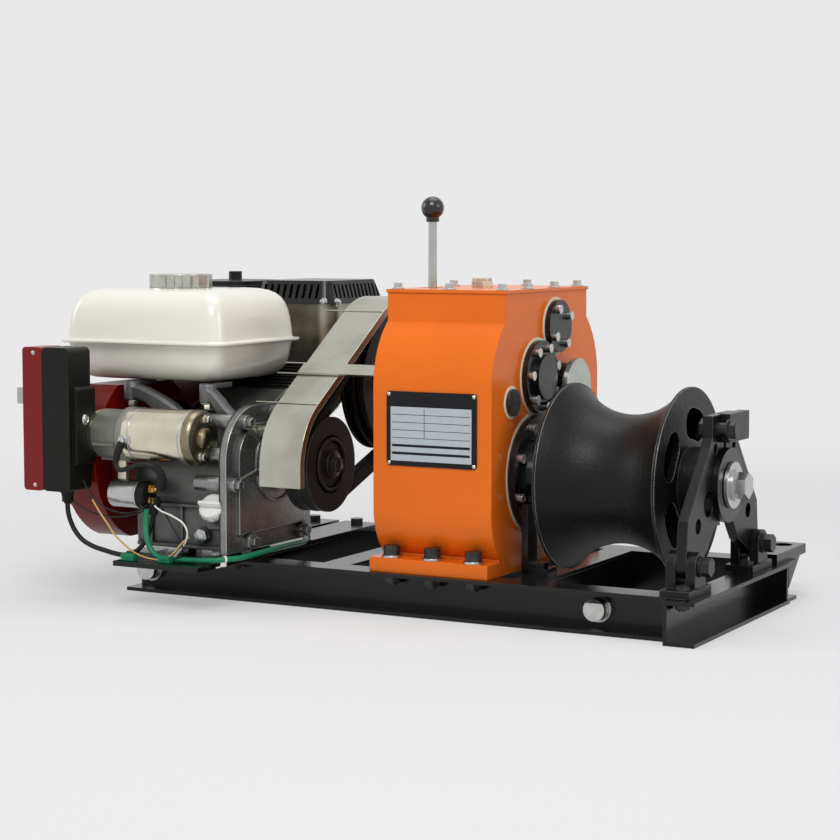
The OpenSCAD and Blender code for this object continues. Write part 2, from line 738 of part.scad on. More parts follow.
module kidney(a) {
    mid = (kidney_in + kidney_out) / 2;
    half = (kidney_out - kidney_in) / 2;
    slab(drum_x1 - web_t - over, drum_x1 + over) translate([drum_y, drum_z]) rotate(a) {
        intersection() {
            difference() { circle(kidney_out); circle(kidney_in); }
            polygon([[0, 0], [2 * kidney_out, -2 * kidney_out * tan(kidney_angle / 2)],
                     [2 * kidney_out, 2 * kidney_out * tan(kidney_angle / 2)]]);
        }
        for (s = [-1, 1]) rotate(s * kidney_angle / 2) translate([mid, 0]) circle(half - kidney_step);
    }
}
module drum() {
    color("#1a1b1d") difference() {
        turned() drum_2d();
        for (i = [0:kidneys - 1]) kidney(kidney_turn + 360 * i / kidneys);
    }
}
bolt_x = arm_x1 + collar_t + 1;
module drum_bolt() {
    color("#d2d0c8") {
        rod(bolt_x, bolt_x + 4, drum_y, drum_z, 27);
        rod(bolt_x + 4, bolt_x + 7, drum_y, drum_z, 18);
        hex_x(bolt_x + 7, bolt_x + 21, drum_y, drum_z, 27);
    }
}
module outboard_bearing() {
    color("#17181a") difference() {
        union() {
            rod(arm_x - 3, arm_x1 + seat, drum_y, drum_z, sleeve_r);
            rod(arm_x1 + seat, arm_x1 + collar_t, drum_y, drum_z, collar_r);
        }
        rod(arm_x - 3 - over, arm_x1 + collar_t + over, drum_y, drum_z, sleeve_bore + run);
    }
}

// Support arm, drawn for the far side in distance from the drum's axis and height
relief = 0.9;
module arm_2d() {
    difference() {
        union() {
            translate([pin_span, pin_z]) circle(foot_r);
            polygon([
                [pin_span + foot_r, pin_z], [pin_span + 9, drum_z - 30], [tongue_out + 6, drum_z + 46],
                [tongue_out, drum_z + 56], [tongue_out, tongue_top], [tongue_in, tongue_top],
                [tongue_in, drum_z + 44], [arm_gap, drum_z + 38], [arm_gap, drum_z - 45],
                [pin_span - 74, drum_z - 45], [pin_span - 52, drum_z - 70], [pin_span, pin_z - foot_r]
            ]);
        }
        translate([0, drum_z]) circle(sleeve_r + slip);
        intersection() {
            translate([pin_span, pin_z]) difference() {
                circle(pin_reach + 2 * sleeve_r, $fn = 120);
                circle(pin_reach - sleeve_r - relief, $fn = 120);
            }
            translate([0, drum_z]) rotate(-90 - swing_low) translate([0, -2 * sleeve_r]) square([3 * sleeve_r, 4 * sleeve_r]);
        }
        translate([pin_span, pin_z]) circle(pin_r + run);
        translate([50, drum_z - 17]) circle(15);
        translate([pin_span - 22, drum_z - 39]) circle(9);
        translate([30, drum_z + 44]) circle(6);
    }
}
module near_arm() {
    color("#1b1c1e") difference() {
        slab(arm_x, arm_x1) translate([drum_y, 0]) mirror([1, 0]) arm_2d();
        rod(arm_x - over, arm_x1 + over, drum_y - clamp_a, clamp_z, clamp_r + run);
    }
}
module far_arm() {
    color("#1b1c1e") {
        slab(arm_x, arm_x1) translate([drum_y, 0]) arm_2d();
        difference() {
            union() {
                block([arm_x1 + seat, drum_y - clamp_a + bar_stop, clamp_z - bar_h / 2], [arm_x1 + bar_t, drum_y + tongue_out + 8, clamp_z + bar_h / 2 + over]);
                block([arm_x1 - over, drum_y + tongue_in + over, clamp_z - bar_h / 2 + over], [arm_x1 + bar_t / 2, drum_y + tongue_out - over, clamp_z + bar_h / 2 - over]);
            }
            rod(arm_x1 - over, arm_x1 + bar_t + over, drum_y - clamp_a, clamp_z, clamp_r + slip);
        }
    }
}
module clamp_bolt() {
    color("#2a2a2c") {
        y = drum_y - clamp_a;
        rod(arm_x - 6, arm_x1 + bar_t + 11, y, clamp_z, clamp_r);
        hex_x(arm_x - 8, arm_x, y, clamp_z, 20);
        rod(arm_x1 + bar_t + slip, arm_x1 + bar_t + washer_t, y, clamp_z, 12);
        hex_x(arm_x1 + bar_t + washer_t, arm_x1 + bar_t + 10, y, clamp_z, 18);
    }
}

// Hinge brackets on the end channel and their pins
ear_x = [arm_x - arm_gap - ear_t, arm_x1 + arm_gap];
module hinge_clevises() {
    color("#1b1c1e") for (s = [-1, 1]) difference() {
        union() {
            block([ear_x[0], drum_y + s * pin_span - plate_half, base_z], [ear_x[1] + ear_t, drum_y + s * pin_span + plate_half, plate_z]);
            for (x = ear_x) slab(x, x + ear_t) {
                translate([drum_y + s * pin_span, pin_z]) circle(ear_half);
                translate([drum_y + s * pin_span - ear_half, plate_z]) square([2 * ear_half, pin_z - plate_z]);
            }
        }
        rod(ear_x[0] - over, ear_x[1] + ear_t + over, drum_y + s * pin_span, pin_z, pin_r + run);
        for (p = plate_screws) post(p.x, p.y, base_z - over, plate_z + over, plate_screw_r + slip);
    }
}
module hinge_pins() {
    color("#8d8c88") for (s = [-1, 1]) {
        rod(ear_x[0] - 2, ear_x[1] + ear_t, drum_y + s * pin_span, pin_z, pin_r);
        rod(ear_x[1] + ear_t, ear_x[1] + ear_t + washer_t, drum_y + s * pin_span, pin_z, pin_r + 5);
        hex_x(ear_x[1] + ear_t + washer_t, ear_x[1] + ear_t + pin_head, drum_y + s * pin_span, pin_z, 3 * pin_r - 2);
    }
}
pin_head = 13;
pillar_x = face_x + flange_t + 5 + seat;
pillar_y = drum_y - 60;
pillar_t = 8;
pillar_w = 26;
pillar_foot = 34;
pillar_flat = 12;
pillar_head = 6;
module flange_pillar() {
    color("#1b1c1e") {
        block([pillar_x, pillar_y, base_z], [pillar_x + pillar_t, pillar_y + pillar_w, drum_z - 30]);
        block([pillar_x, pillar_y, base_z], [pillar_x + pillar_foot, pillar_y + pillar_w, base_z + pillar_t]);
    }
    color("#2a2a2c") hex_z(pillar_x + pillar_foot - pillar_flat, pillar_y + pillar_w / 2, base_z + pillar_t,
                           base_z + pillar_t + pillar_head, pillar_flat);
}

// Belt drive: the loop of two circles joined by their outer tangents
span_y = input_y - crank_y;
span_z = input_z - crank_z;
span = sqrt(pow(span_y, 2) + pow(span_z, 2));
span_angle = atan2(span_z, span_y);
function tangent(r1, r2, s) = span_angle + s * acos((r1 - r2) / span);
function on_crank(r, a) = [crank_y + r * cos(a), crank_z + r * sin(a)];
function on_input(r, a) = [input_y + r * cos(a), input_z + r * sin(a)];
module loop_2d(r1, r2) {
    up = tangent(r1, r2, 1);
    down = tangent(r1, r2, -1);
    translate([crank_y, crank_z]) circle(r1, $fn = 96);
    translate([input_y, input_z]) circle(r2, $fn = 96);
    polygon([on_crank(r1, up), on_input(r2, up), on_input(r2, down), on_crank(r1, down)]);
}
module pulley(y, z, r, rim, bore) {
    half = belt_w / 2 + slip;
    translate([pulley_x0, y, z]) rotate([0, 90, 0]) rotate_extrude($fn = 96) difference() {
        union() {
            translate([r - rim, 0]) square([rim, pulley_w]);
            translate([bore, 0]) square([pulley_hub, pulley_w]);
            translate([bore, pulley_w / 2 - web_t / 2]) square([r - bore - 1, web_t]);
        }
        for (s = [-1, 1]) translate([r - groove_depth, pulley_w / 2 + s * belt_pitch / 2 - half]) square([groove_depth + over, 2 * half]);
    }
}
crank_r = 12.5;
belt_drop = 1;
belt_depth = 8;
module crank_pulley() { color("#1c1c1e") pulley(crank_y, crank_z, crank_pulley_r, 22, crank_r); }
module driven_pulley() {
    color("#1c1c1e") difference() {
        pulley(input_y, input_z, driven_pulley_r, 20, input_r);
        ring_places(input_y, input_z, (driven_pulley_r + input_r) / 2, 5, 0) rod(pulley_x0 - over, pulley_x1 + over, 0, 0, 13);
    }
}
module drive_belts() {
    color("#222224") for (s = [-1, 1]) {
        x = pulley_x0 + pulley_w / 2 + s * belt_pitch / 2 - belt_w / 2;
        slab(x, x + belt_w) difference() {
            loop_2d(crank_pulley_r - belt_drop, driven_pulley_r - belt_drop);
            loop_2d(crank_pulley_r - belt_drop - belt_depth, driven_pulley_r - belt_drop - belt_depth);
        }
    }
}
guard_low = crank_z - 20;
guard_far = input_y + 62;
strap_w = 20;
strap_t = 3;
strap_share = 0.3;
module guard_keep_2d() {
    polygon([
        [crank_y - 2 * crank_pulley_r, guard_low], [crank_y - crank_pulley_r, guard_low], [crank_y - 20, crank_z + 10],
        [input_y + 20, input_z + 20], [guard_far, input_z + 20], [guard_far, input_z + 2 * driven_pulley_r],
        [crank_y - 2 * crank_pulley_r, input_z + 2 * driven_pulley_r]
    ]);
}
module guard_region_2d(inset) {
    r1 = crank_pulley_r + guard_gap - inset;
    r2 = driven_pulley_r + guard_gap_driven - inset;
    loop_2d(r1, r2);
    translate([crank_y - r1, guard_low - over]) square([r1, crank_z - guard_low + over]);
}
module belt_guard() {
    r1 = crank_pulley_r + guard_gap;
    r2 = driven_pulley_r + guard_gap_driven;
    up = tangent(r1, r2, 1);
    foot = on_crank(r1, up) * (1 - strap_share) + on_input(r2, up) * strap_share;
    color("#b4b3ae") {
        slab(guard_x0, guard_x1) intersection() {
            difference() { guard_region_2d(0); guard_region_2d(guard_t); }
            guard_keep_2d();
        }
        slab(guard_x0, guard_x0 + guard_t) intersection() {
            difference() {
                guard_region_2d(guard_t / 2);
                translate([crank_y, crank_z]) circle(crank_r + 14);
            }
            guard_keep_2d();
        }
        slab(guard_x1 - guard_t, guard_x1) intersection() {
            difference() { guard_region_2d(guard_t / 2); guard_region_2d(9); }
            guard_keep_2d();
        }
        translate([0, foot.x, foot.y]) rotate([up - 90, 0, 0]) block([guard_x0, 0, 0], [gear_x0, strap_w, strap_t]);
        for (p = stays) rod(cover_x + cover_t, guard_x0 + over, p.x, p.y, stay_r);
    }
}
cover_t = 14;
stay_r = 8;
stays = [[crank_y - 38, crank_z + 40], [crank_y + 38, crank_z + 40]];

// Engine: crankcase, side cover, cylinder and running gear
case_r = 80;
case_half = 78;
case_mid_z = engine_z + case_r;
cast_wall = 7;
module case_2d(inset) {
    translate([crank_y, case_mid_z]) circle(case_r - inset, $fn = 96);
    translate([crank_y - case_half + inset, engine_z + inset]) square([2 * (case_half - inset), case_mid_z - engine_z - inset]);
}
main_r = 15;
bore_r = 34;
cyl_x = cover_x - 66;
block_reach = 62;
foot_w = 34;
module along_cylinder(y0) { translate([cyl_x, crank_y, crank_z]) rotate([cyl_tilt - 90, 0, 0]) translate([0, 0, y0]) children(); }
module crankcase() {
    color("#8e9092") difference() {
        union() {
            slab(case_x0, cover_x) case_2d(0);
            for (x = foot_x, y = foot_y) block([x - foot_w / 2, y - foot_w / 2 - 6, engine_z], [x + foot_w / 2, y + foot_w / 2 + 6, engine_z + foot_h]);
            intersection() {
                along_cylinder(case_r / 2) translate([-50, -44, 0]) cube([100, 88, block_reach]);
                block([case_x0, crank_y, engine_z], [cover_x, crank_y + 3 * case_r, crank_z + 2 * case_r]);
            }
            block([dip_x - 14, crank_y - case_half - 12, dip_z - 14], [dip_x + 14, crank_y - case_half + 4, dip_z + 14]);
        }
        slab(case_x0 + cast_wall, cover_x + over) case_2d(cast_wall);
        along_cylinder(0) cylinder(h = 3 * case_r, r = bore_r);
        rod(case_x0 - over, case_x0 + cast_wall + over, crank_y, crank_z, main_r + run);
        for (x = foot_x, y = foot_y) post(x, y, engine_z - over, engine_z + foot_h + over, bolt_r + slip);
        dip_bore(dip_r + run, 40);
    }
}
dip_x = cover_x - 14;
dip_z = engine_z + 42;
dip_r = 9;
dip_tilt = 35;
module dip_axis() { translate([dip_x, crank_y - case_half - 2, dip_z]) rotate([90 - dip_tilt, 0, 0]) children(); }
module dip_bore(r, reach) { dip_axis() translate([0, 0, -reach]) cylinder(h = 2 * reach, r = r); }
module oil_dipstick() {
    color("#e9e8e2") dip_axis() {
        translate([0, 0, 17]) cylinder(h = 13, r = 14);
        translate([0, 0, 30]) translate([-13, -3, 0]) cube([26, 6, 5]);
    }
    color("#e9e8e2") dip_axis() {
        translate([0, 0, -10]) cylinder(h = 27, r = dip_r);
        translate([0, 0, -46]) cylinder(h = 37, r = 2.5);
    }
}
cover_y0 = crank_y - 106;
cover_y1 = crank_y + 88;
cover_top = engine_z + 176;
cover_r = 66;
cover_step = 22;
pto_r = 34;
pto_t = 8;
module cover_2d(inset) {
    for (y = [cover_y0 + cover_r, cover_y1 - cover_r]) translate([y, cover_top - cover_r]) circle(cover_r - inset, $fn = 96);
    translate([cover_y0 + inset, engine_z + inset]) square([cover_y1 - cover_y0 - 2 * inset, cover_top - cover_r - engine_z - inset]);
    translate([cover_y0 + cover_r, engine_z + inset]) square([cover_y1 - cover_y0 - 2 * cover_r, cover_top - engine_z - 2 * inset]);
}
cover_bosses = [
    [cover_y0 + 38, cover_top - 19], [cover_y0 + 12, case_mid_z + 4], [cover_y0 + 46, engine_z + 12],
    [crank_y, cover_top - 11], [cover_y1 - 26, cover_top - 30], [cover_y1 - 12, case_mid_z + 4], [cover_y1 - 26, engine_z + 12]
];
module side_cover() {
    color("#9b9d9e") difference() {
        union() {
            slab(cover_x, cover_x + cover_t - 5) cover_2d(0);
            slab(cover_x, cover_x + cover_t) cover_2d(cover_step);
            rod(cover_x, cover_x + cover_t + pto_t, crank_y, crank_z, pto_r);
            for (p = cover_bosses) rod(cover_x, cover_x + cover_t + 3, p.x, p.y, 9);
        }
        rod(cover_x - over, cover_x + cover_t + pto_t + over, crank_y, crank_z, main_r + run);
    }
    color("#8a8a86") for (p = cover_bosses) hex_x(cover_x + cover_t + 3, cover_x + cover_t + 9, p.x, p.y, 11);
}
fin_half_x = 52;
fin_half_y = 43;
fin_t = 2.5;
fin_pitch = 8;
fin_start = 108;
fins = 9;
head_h0 = 30;
module engine_cylinder() {
    cylinder_core_r = bore_r + 7;
    color("#3a3b3d") along_cylinder(case_r / 2 + block_reach + seat) difference() {
        union() {
            linear_exact(fins * fin_pitch + 2, cylinder_core_r);
            for (i = [0:fins - 1]) translate([0, 0, i * fin_pitch + 4]) fin_plate(fin_t, i);
            translate([0, 0, fins * fin_pitch + 2]) fin_plate(head_h0, 0);
        }
        translate([0, 0, -over]) linear_exact(fins * fin_pitch, bore_r);
    }
}
module linear_exact(h, r) { rotate_extrude() square([r, h]); }
module fin_plate(t, i) {
    linear_extrude(t) round_rect([-fin_half_x, -fin_half_y], [fin_half_x, fin_half_y], 10);
}
throw = 27;
web_w = 12;
web_r = 20;
pin_gap = 24;
module crankshaft() {
    color("#a5a7aa") {
        rod(flywheel_x0 - 14, cyl_x - pin_gap / 2 - web_w / 2, crank_y, crank_z, main_r);
        rod(cyl_x + pin_gap / 2 + web_w / 2, pulley_x0, crank_y, crank_z, main_r);
        rod(pulley_x0, pulley_x1 + 2, crank_y, crank_z, crank_r);
        for (s = [-1, 1]) slab(cyl_x + s * (pin_gap + web_w) / 2 - web_w / 2, cyl_x + s * (pin_gap + web_w) / 2 + web_w / 2)
            translate([crank_y, crank_z]) {
                circle(web_r);
                translate([0, throw]) circle(web_r - 2);
                translate([-web_r, -2 * web_r]) square([2 * web_r, 2 * web_r + throw / 2]);
            }
        rod(cyl_x - pin_gap / 2 - 1, cyl_x + pin_gap / 2 + 1, crank_y, crank_z + throw, main_r);
    }
}
flywheel_x0 = blower_x0 + 16;
flywheel_w = 30;
flywheel_r = 82;
blades = 14;
module flywheel() {
    color("#77797c") difference() {
        union() {
            rod(flywheel_x0, flywheel_x0 + flywheel_w, crank_y, crank_z, flywheel_r);
            for (i = [0:blades - 1]) rotate_about(crank_y, crank_z, 360 * i / blades)
                block([flywheel_x0 - 12, crank_y + flywheel_r - 34, crank_z - 1.5], [flywheel_x0 + over, crank_y + flywheel_r, crank_z + 1.5]);
        }
        rod(flywheel_x0 + web_t, flywheel_x0 + flywheel_w + over, crank_y, crank_z, flywheel_r - 16);
        rod(flywheel_x0 - 14 - over, flywheel_x0 + flywheel_w + over, crank_y, crank_z, main_r);
    }
    color("#77797c") difference() {
        rod(flywheel_x0 + web_t - over, flywheel_x0 + flywheel_w, crank_y, crank_z, main_r + 8);
        rod(flywheel_x0 - over, flywheel_x0 + flywheel_w + over, crank_y, crank_z, main_r);
    }
}
sheet_t = 2;
duct_half = 50;
duct_reach = 170;
duct_top = 36;
blower_x1 = blower_x0 + 50;
neck_out_r = 74;
blower_z0 = crank_z - 102;
blower_z1 = seam_z - 54;
intake_r = 62;
module blower_2d(r, inset) {
    intersection() {
        union() {
            translate([crank_y, crank_z]) circle(r - inset, $fn = 96);
            translate([crank_y, crank_z]) rotate(cyl_tilt) translate([0, -duct_half + inset])
                square([duct_reach - inset, duct_half + duct_top - 2 * inset]);
        }
        translate([crank_y - 2 * r, blower_z0 + inset]) square([5 * r, blower_z1 - blower_z0 - 2 * inset]);
    }
}
module blower_housing() {
    color("#b3131b") difference() {
        union() {
            slab(blower_x0, blower_x1) blower_2d(blower_r, 0);
            slab(blower_x1 - over, case_x0) blower_2d(neck_out_r, 0);
        }
        slab(blower_x0 + sheet_t, blower_x1 - sheet_t) blower_2d(blower_r, sheet_t);
        slab(blower_x1 - 2 * sheet_t, case_x0 + over) blower_2d(neck_out_r, sheet_t);
        rod(blower_x0 - over, blower_x0 + sheet_t + over, crank_y, crank_z, intake_r);
    }
}
recoil_r = 80;
slots = 12;
grip_y = crank_y + 52;
grip_z = crank_z + 44;
rope_r = 2.5;
grip_half = 24;
module recoil_housing() {
    color("#b3131b") difference() {
        rod(recoil_x0, blower_x0, crank_y, crank_z, recoil_r);
        rod(recoil_x0 + sheet_t, blower_x0 + over, crank_y, crank_z, recoil_r - sheet_t);
        ring_places(crank_y, crank_z, recoil_r - 24, slots, 15) rod(recoil_x0 - over, recoil_x0 + sheet_t + over, 0, 0, 8);
        rod(recoil_x0 - over, recoil_x0 + sheet_t + over, grip_y, grip_z, rope_r + 3);
    }
    color("#2b2c2e") difference() {
        rod(blower_x0 - 22, blower_x0 - 6, crank_y, crank_z, 50);
        rod(blower_x0 - 22 - over, blower_x0 - 6 + over, crank_y, crank_z, 20);
    }
    color("#2b2c2e") rod(recoil_x0 + sheet_t, blower_x0 - 4, crank_y, crank_z, 12);
    color("#2b2c2e") rod(recoil_x0 + sheet_t, blower_x0 - 22, crank_y, crank_z, 20);
}
module recoil_grip() {
    color("#17181a") {
        translate([recoil_x0 - 14, grip_y, grip_z]) rotate([cyl_tilt, 0, 0]) translate([0, -grip_half, 0]) rotate([-90, 0, 0]) cylinder(h = 2 * grip_half, r = 8);
        rod(recoil_x0 - 14, recoil_x0 - 0.5, grip_y, grip_z, 7);
        rod(recoil_x0 - 14, blower_x0 - 10, grip_y, grip_z, rope_r);
    }
}

// Fuel tank: two pressed shells meeting in a seam flange
tank_x1 = tank_x0 + tank_len;
tank_y1 = tank_y0 + tank_depth;
tank_top = seam_z + 66;
tank_low = seam_z - 48;
tank_t = 2;
seam_lip = 8;
seam_t = 4;
corner_r = 18;
// Layers of the shells: inset, distance from the seam, cut of the corner radius
upper_layers = [[0, 0, 0], [4, 40, 0], [8, 52, 0]];
lower_layers = [[0, 0, 0], [4, 24, 0]];
brow = 18;
brow_r = 2;
brow_drop = 5;
crown = 34;
crown_r = 5;
chin = 16;
chin_rise = 5;
sole = 28;
module tank_layer(inset, r, z) { layer([tank_x0 + inset, tank_y0 + inset], [tank_x1 - inset, tank_y1 - inset], r, z); }
module tank_upper(t) {
    hull() {
        for (l = upper_layers) tank_layer(seam_lip + l.x + t, corner_r - l.z, seam_z + l.y);
        tank_layer(seam_lip + brow + t, corner_r - brow_r, tank_top - brow_drop - t);
        tank_layer(seam_lip + crown + t, corner_r - crown_r, tank_top - skin_t - t);
    }
}
module tank_lower(t) {
    hull() {
        for (l = lower_layers) tank_layer(seam_lip + l.x + t, corner_r - l.z, seam_z - l.y);
        tank_layer(seam_lip + chin + t, corner_r - brow_r, tank_low + chin_rise + t);
        tank_layer(seam_lip + sole + t, corner_r - crown_r, tank_low + t);
    }
}
tank_mid_x = (tank_x0 + tank_x1) / 2;
tank_mid_y = (tank_y0 + tank_y1) / 2;
neck_r = 24;
neck_h = 8;
fuel_cap_r = 40;
fuel_cap_h = 17;
flutes = 12;
module fuel_tank() {
    color("#efece0") difference() {
        union() {
            tank_upper(0);
            tank_lower(0);
            round_block([tank_x0, tank_y0, seam_z - seam_t / 2], [tank_x1, tank_y1, seam_z + seam_t / 2], corner_r + seam_lip);
            post(tank_mid_x, tank_mid_y, tank_top - 4, tank_top + neck_h, neck_r);
        }
        tank_upper(tank_t);
        tank_lower(tank_t);
        post(tank_mid_x, tank_mid_y, tank_top - 20, tank_top + neck_h + over, neck_r - 3);
    }
}
module fuel_cap() {
    color("#b8b6ae") difference() {
        post(tank_mid_x, tank_mid_y, tank_top + seat, tank_top + seat + fuel_cap_h, fuel_cap_r);
        post(tank_mid_x, tank_mid_y, tank_top - over, tank_top + neck_h + seat, neck_r + seat);
        for (i = [0:flutes - 1]) let (a = 360 * i / flutes)
            post(tank_mid_x + (fuel_cap_r + 4) * cos(a), tank_mid_y + (fuel_cap_r + 4) * sin(a), tank_top - over, tank_top + fuel_cap_h - 2, 7);
    }
}
arm_tops = [cover_x - 165, cover_x - 52];
arm_runs = [66, 30];
arm_y0 = crank_y - 62;
arm_w = 20;
arm_half = 14;
arm_rise = [40, 60, 80];
arm_drops = [9, 10, 28];
arm_pad_t = 5;
arm_pad_reach = seam_lip + 42;
module tank_arms() {
    top = tank_low - seat;
    color("#a0a2a3") difference() {
        for (i = [0, 1]) let (x = arm_tops[i], low = x + arm_runs[i]) {
            translate([0, arm_y0 + arm_w, 0]) rotate([90, 0, 0]) linear_extrude(arm_w) polygon([
                [x - arm_half, top], [x + arm_half, top], [x + arm_half, top - arm_drops[1]],
                [low + arm_half, case_mid_z + arm_rise[2]], [low + arm_half, case_mid_z + arm_rise[0]],
                [low - arm_half, case_mid_z + arm_rise[0]], [low - arm_half, case_mid_z + arm_rise[1]],
                [(x + low - arm_half) / 2, top - arm_drops[2]], [x - arm_half, top - arm_drops[0]]
            ]);
            block([x - arm_half, arm_y0, top - arm_pad_t], [x + arm_half, tank_y0 + arm_pad_reach, top]);
        }
        rod(case_x0 - case_r, cover_x + case_r, crank_y, case_mid_z, case_r + seat);
    }
}

// Exhaust, intake and electrical pieces
muffler_x0 = cover_x - 118;
muffler_x1 = cover_x - 8;
muffler_y0 = crank_y + 172;
muffler_y1 = crank_y + 305;
muffler_z0 = crank_z + 120;
muffler_z1 = crank_z + 192;
module muffler() {
    color("#1a1a1c") {
        difference() {
            round_block([muffler_x0, muffler_y0, muffler_z0], [muffler_x1, muffler_y1, muffler_z1], 22);
            round_block([muffler_x0 + 2, muffler_y0 + 2, muffler_z0 + 2], [muffler_x1 - 2, muffler_y1 - 2, muffler_z1 - 2], 20);
        }
        bar_y(muffler_x0 + 30, muffler_z0 + 20, muffler_y1 - 1, muffler_y1 + 22, 9);
        along_cylinder(head_end + seat) cylinder(h = pipe_len, r = pipe_r);
        post(cyl_x, pipe_y, pipe_z, muffler_z0 + 3, pipe_r);
    }
}
head_end = case_r / 2 + block_reach + seat + fins * fin_pitch + 2 + head_h0;
pipe_len = 52;
pipe_r = 12;
pipe_y = crank_y + (head_end + pipe_len) * cos(cyl_tilt) - 4;
pipe_z = crank_z + (head_end + pipe_len) * sin(cyl_tilt) - 4;
guard_lip = 5;
module muffler_guard() {
    gx0 = muffler_x0 - guard_lip;
    gx1 = muffler_x1 + guard_lip;
    gy0 = muffler_y0 - guard_lip - 10;
    gy1 = muffler_y1 + guard_lip;
    gz0 = muffler_z1 - 4;
    gz1 = muffler_z1 + 26;
    color("#1d1d1f") difference() {
        hull() {
            layer([gx0, gy0], [gx1, gy1], 14, gz0);
            layer([gx0 + 8, gy0 + 12], [gx1 - 8, gy1 - 12], 12, gz1 - skin_t);
        }
        round_block([gx0 + 9, gy0 + 13, gz0 - over], [gx1 - 9, gy1 - 13, gz1 - 2], 10);
        round_block([muffler_x0 - seat, muffler_y0 - seat, gz0 - over], [muffler_x1 + seat, muffler_y1 + seat, muffler_z1 + seat], 22);
        for (i = [0:8]) block([gx0 + 16 + 10 * i, gy0 - over, gz0 + 7], [gx0 + 21 + 10 * i, gy0 + 34, gz1 - 5]);
        for (i = [0:11]) block([gx1 - 34, gy0 + 22 + 10 * i, gz0 + 7], [gx1 + over, gy0 + 27 + 10 * i, gz1 - 5]);
    }
}
cleaner_x0 = case_x0 - 108;
cleaner_x1 = cover_x - 138;
cleaner_y0 = crank_y + 160;
cleaner_y1 = crank_y + 296;
cleaner_z0 = crank_z + 92;
cleaner_z1 = crank_z + 216;
intake_y = crank_y + 165;
intake_z = crank_z + 100;
module air_cleaner() {
    color("#1b1b1d") {
        round_block([cleaner_x0, cleaner_y0, cleaner_z0 + 30], [cleaner_x1, cleaner_y1, cleaner_z1 - 6], 26);
        round_block([cleaner_x0 + 4, cleaner_y0 + 4, cleaner_z1 - 6], [cleaner_x1 - 4, cleaner_y1 - 4, cleaner_z1], 22);
        post((cleaner_x0 + cleaner_x1) / 2, (cleaner_y0 + cleaner_y1) / 2, cleaner_z1, cleaner_z1 + 12, 9);
        round_block([cleaner_x0 + 24, cleaner_y0 + 20, cleaner_z0 - 10], [cleaner_x1 - 24, cleaner_y1 - 50, cleaner_z0 + 30], 8);
        block([cleaner_x1 - 40, intake_y - 10, intake_z - 10], [cyl_x - fin_half_x - seat, intake_y + 10, intake_z + 10]);
        block([cleaner_x1 - 60, intake_y - 10, intake_z - 10], [cleaner_x1 - 30, cleaner_y0 + 35, intake_z + 10]);
    }
}
starter_y = crank_y - 101;
starter_z = crank_z + 35;
starter_x0 = case_x0 - 36.7;
nose_len = 52.7;
motor_len = 89;
motor_r = 33.5;
module starter_motor() {
    x1 = starter_x0 + nose_len;
    x2 = x1 + motor_len;
    color("#b9b5a4") {
        rod(starter_x0, x1, starter_y, starter_z, motor_r - 4);
        rod(x1 - 10, x1, starter_y, starter_z, motor_r - 1.5);
        rod(x1, x2, starter_y, starter_z, motor_r);
        rod(x2, x2 + 9, starter_y, starter_z, motor_r - 2);
        rod(x2 + 9, x2 + 15, starter_y, starter_z, 9);
        for (s = [-1, 1]) {
            hex_x(x2 + 9, x2 + 14, starter_y + s * 5, starter_z + s * 22, 9);
        }
    }
}
solenoid_y = crank_y - 106;
solenoid_z = crank_z - 37;
solenoid_x0 = case_x0 - 13;
solenoid_r = 17;
module solenoid() {
    color("#b9b5a4") {
        rod(solenoid_x0, solenoid_x0 + 40, solenoid_y, solenoid_z, solenoid_r);
        block([solenoid_x0 + 4, solenoid_y, solenoid_z + solenoid_r - 3], [solenoid_x0 + 16, solenoid_y + 6, starter_z - motor_r + 4 - seat]);
    }
    color("#1b1b1d") rod(solenoid_x0 + 40, solenoid_x0 + 50, solenoid_y, solenoid_z, solenoid_r - 2);
    color("#b78a3a") for (s = [-1, 1]) rod(solenoid_x0 + 50, solenoid_x0 + 62, solenoid_y, solenoid_z + s * 7, 3);
}
box_x0 = case_x0 - 114;
box_x1 = box_x0 + 70;
box_y1 = crank_y - blower_r - 5;
box_y0 = box_y1 - 43;
box_z0 = engine_z + 70;
box_z1 = box_z0 + 176;
box_front = 29;
module control_box() {
    color("#19191b") {
        translate([0, box_y1, 0]) rotate([90, 0, 0]) linear_extrude(box_y1 - box_y0)
            round_rect([box_x0 + box_front, box_z0], [box_x1, box_z1], 7);
        translate([0, box_y1, 0]) rotate([90, 0, 0]) linear_extrude(box_y1 - box_y0 - 6)
            round_rect([box_x1 - 20, box_z0 + 32], [box_x1 + 7, box_z1 - 48], 5);
        post((box_x0 + box_front + box_x1) / 2, (box_y0 + box_y1) / 2, box_z0 - 14, box_z0, 7);
        block([box_x0 + 34, box_y1, crank_z - 16], [box_x0 + 52, box_y1 + 4.7, crank_z + 16]);
    }
}
module control_cover() {
    color("#a8141b") difference() {
        translate([0, box_y1, 0]) rotate([90, 0, 0]) linear_extrude(box_y1 - box_y0)
            round_rect([box_x0, box_z0], [box_x0 + box_front, box_z1], 5);
        rod(box_x0 - over, box_x0 + box_front / 2, (box_y0 + box_y1) / 2, key_z, 8 + run);
    }
}
key_z = box_z1 - 62;
module key_switch() {
    color("#c9c7c0") {
        rod(box_x0 - 3, box_x0 + box_front / 2, (box_y0 + box_y1) / 2, key_z, 8);
        block([box_x0 - 24, (box_y0 + box_y1) / 2 - 1.2, key_z - 4], [box_x0 - 3, (box_y0 + box_y1) / 2 + 1.2, key_z + 4]);
        block([box_x0 - 24, (box_y0 + box_y1) / 2 - 2.5, key_z - 10], [box_x0 - 12, (box_y0 + box_y1) / 2 + 2.5, key_z + 10]);
    }
}

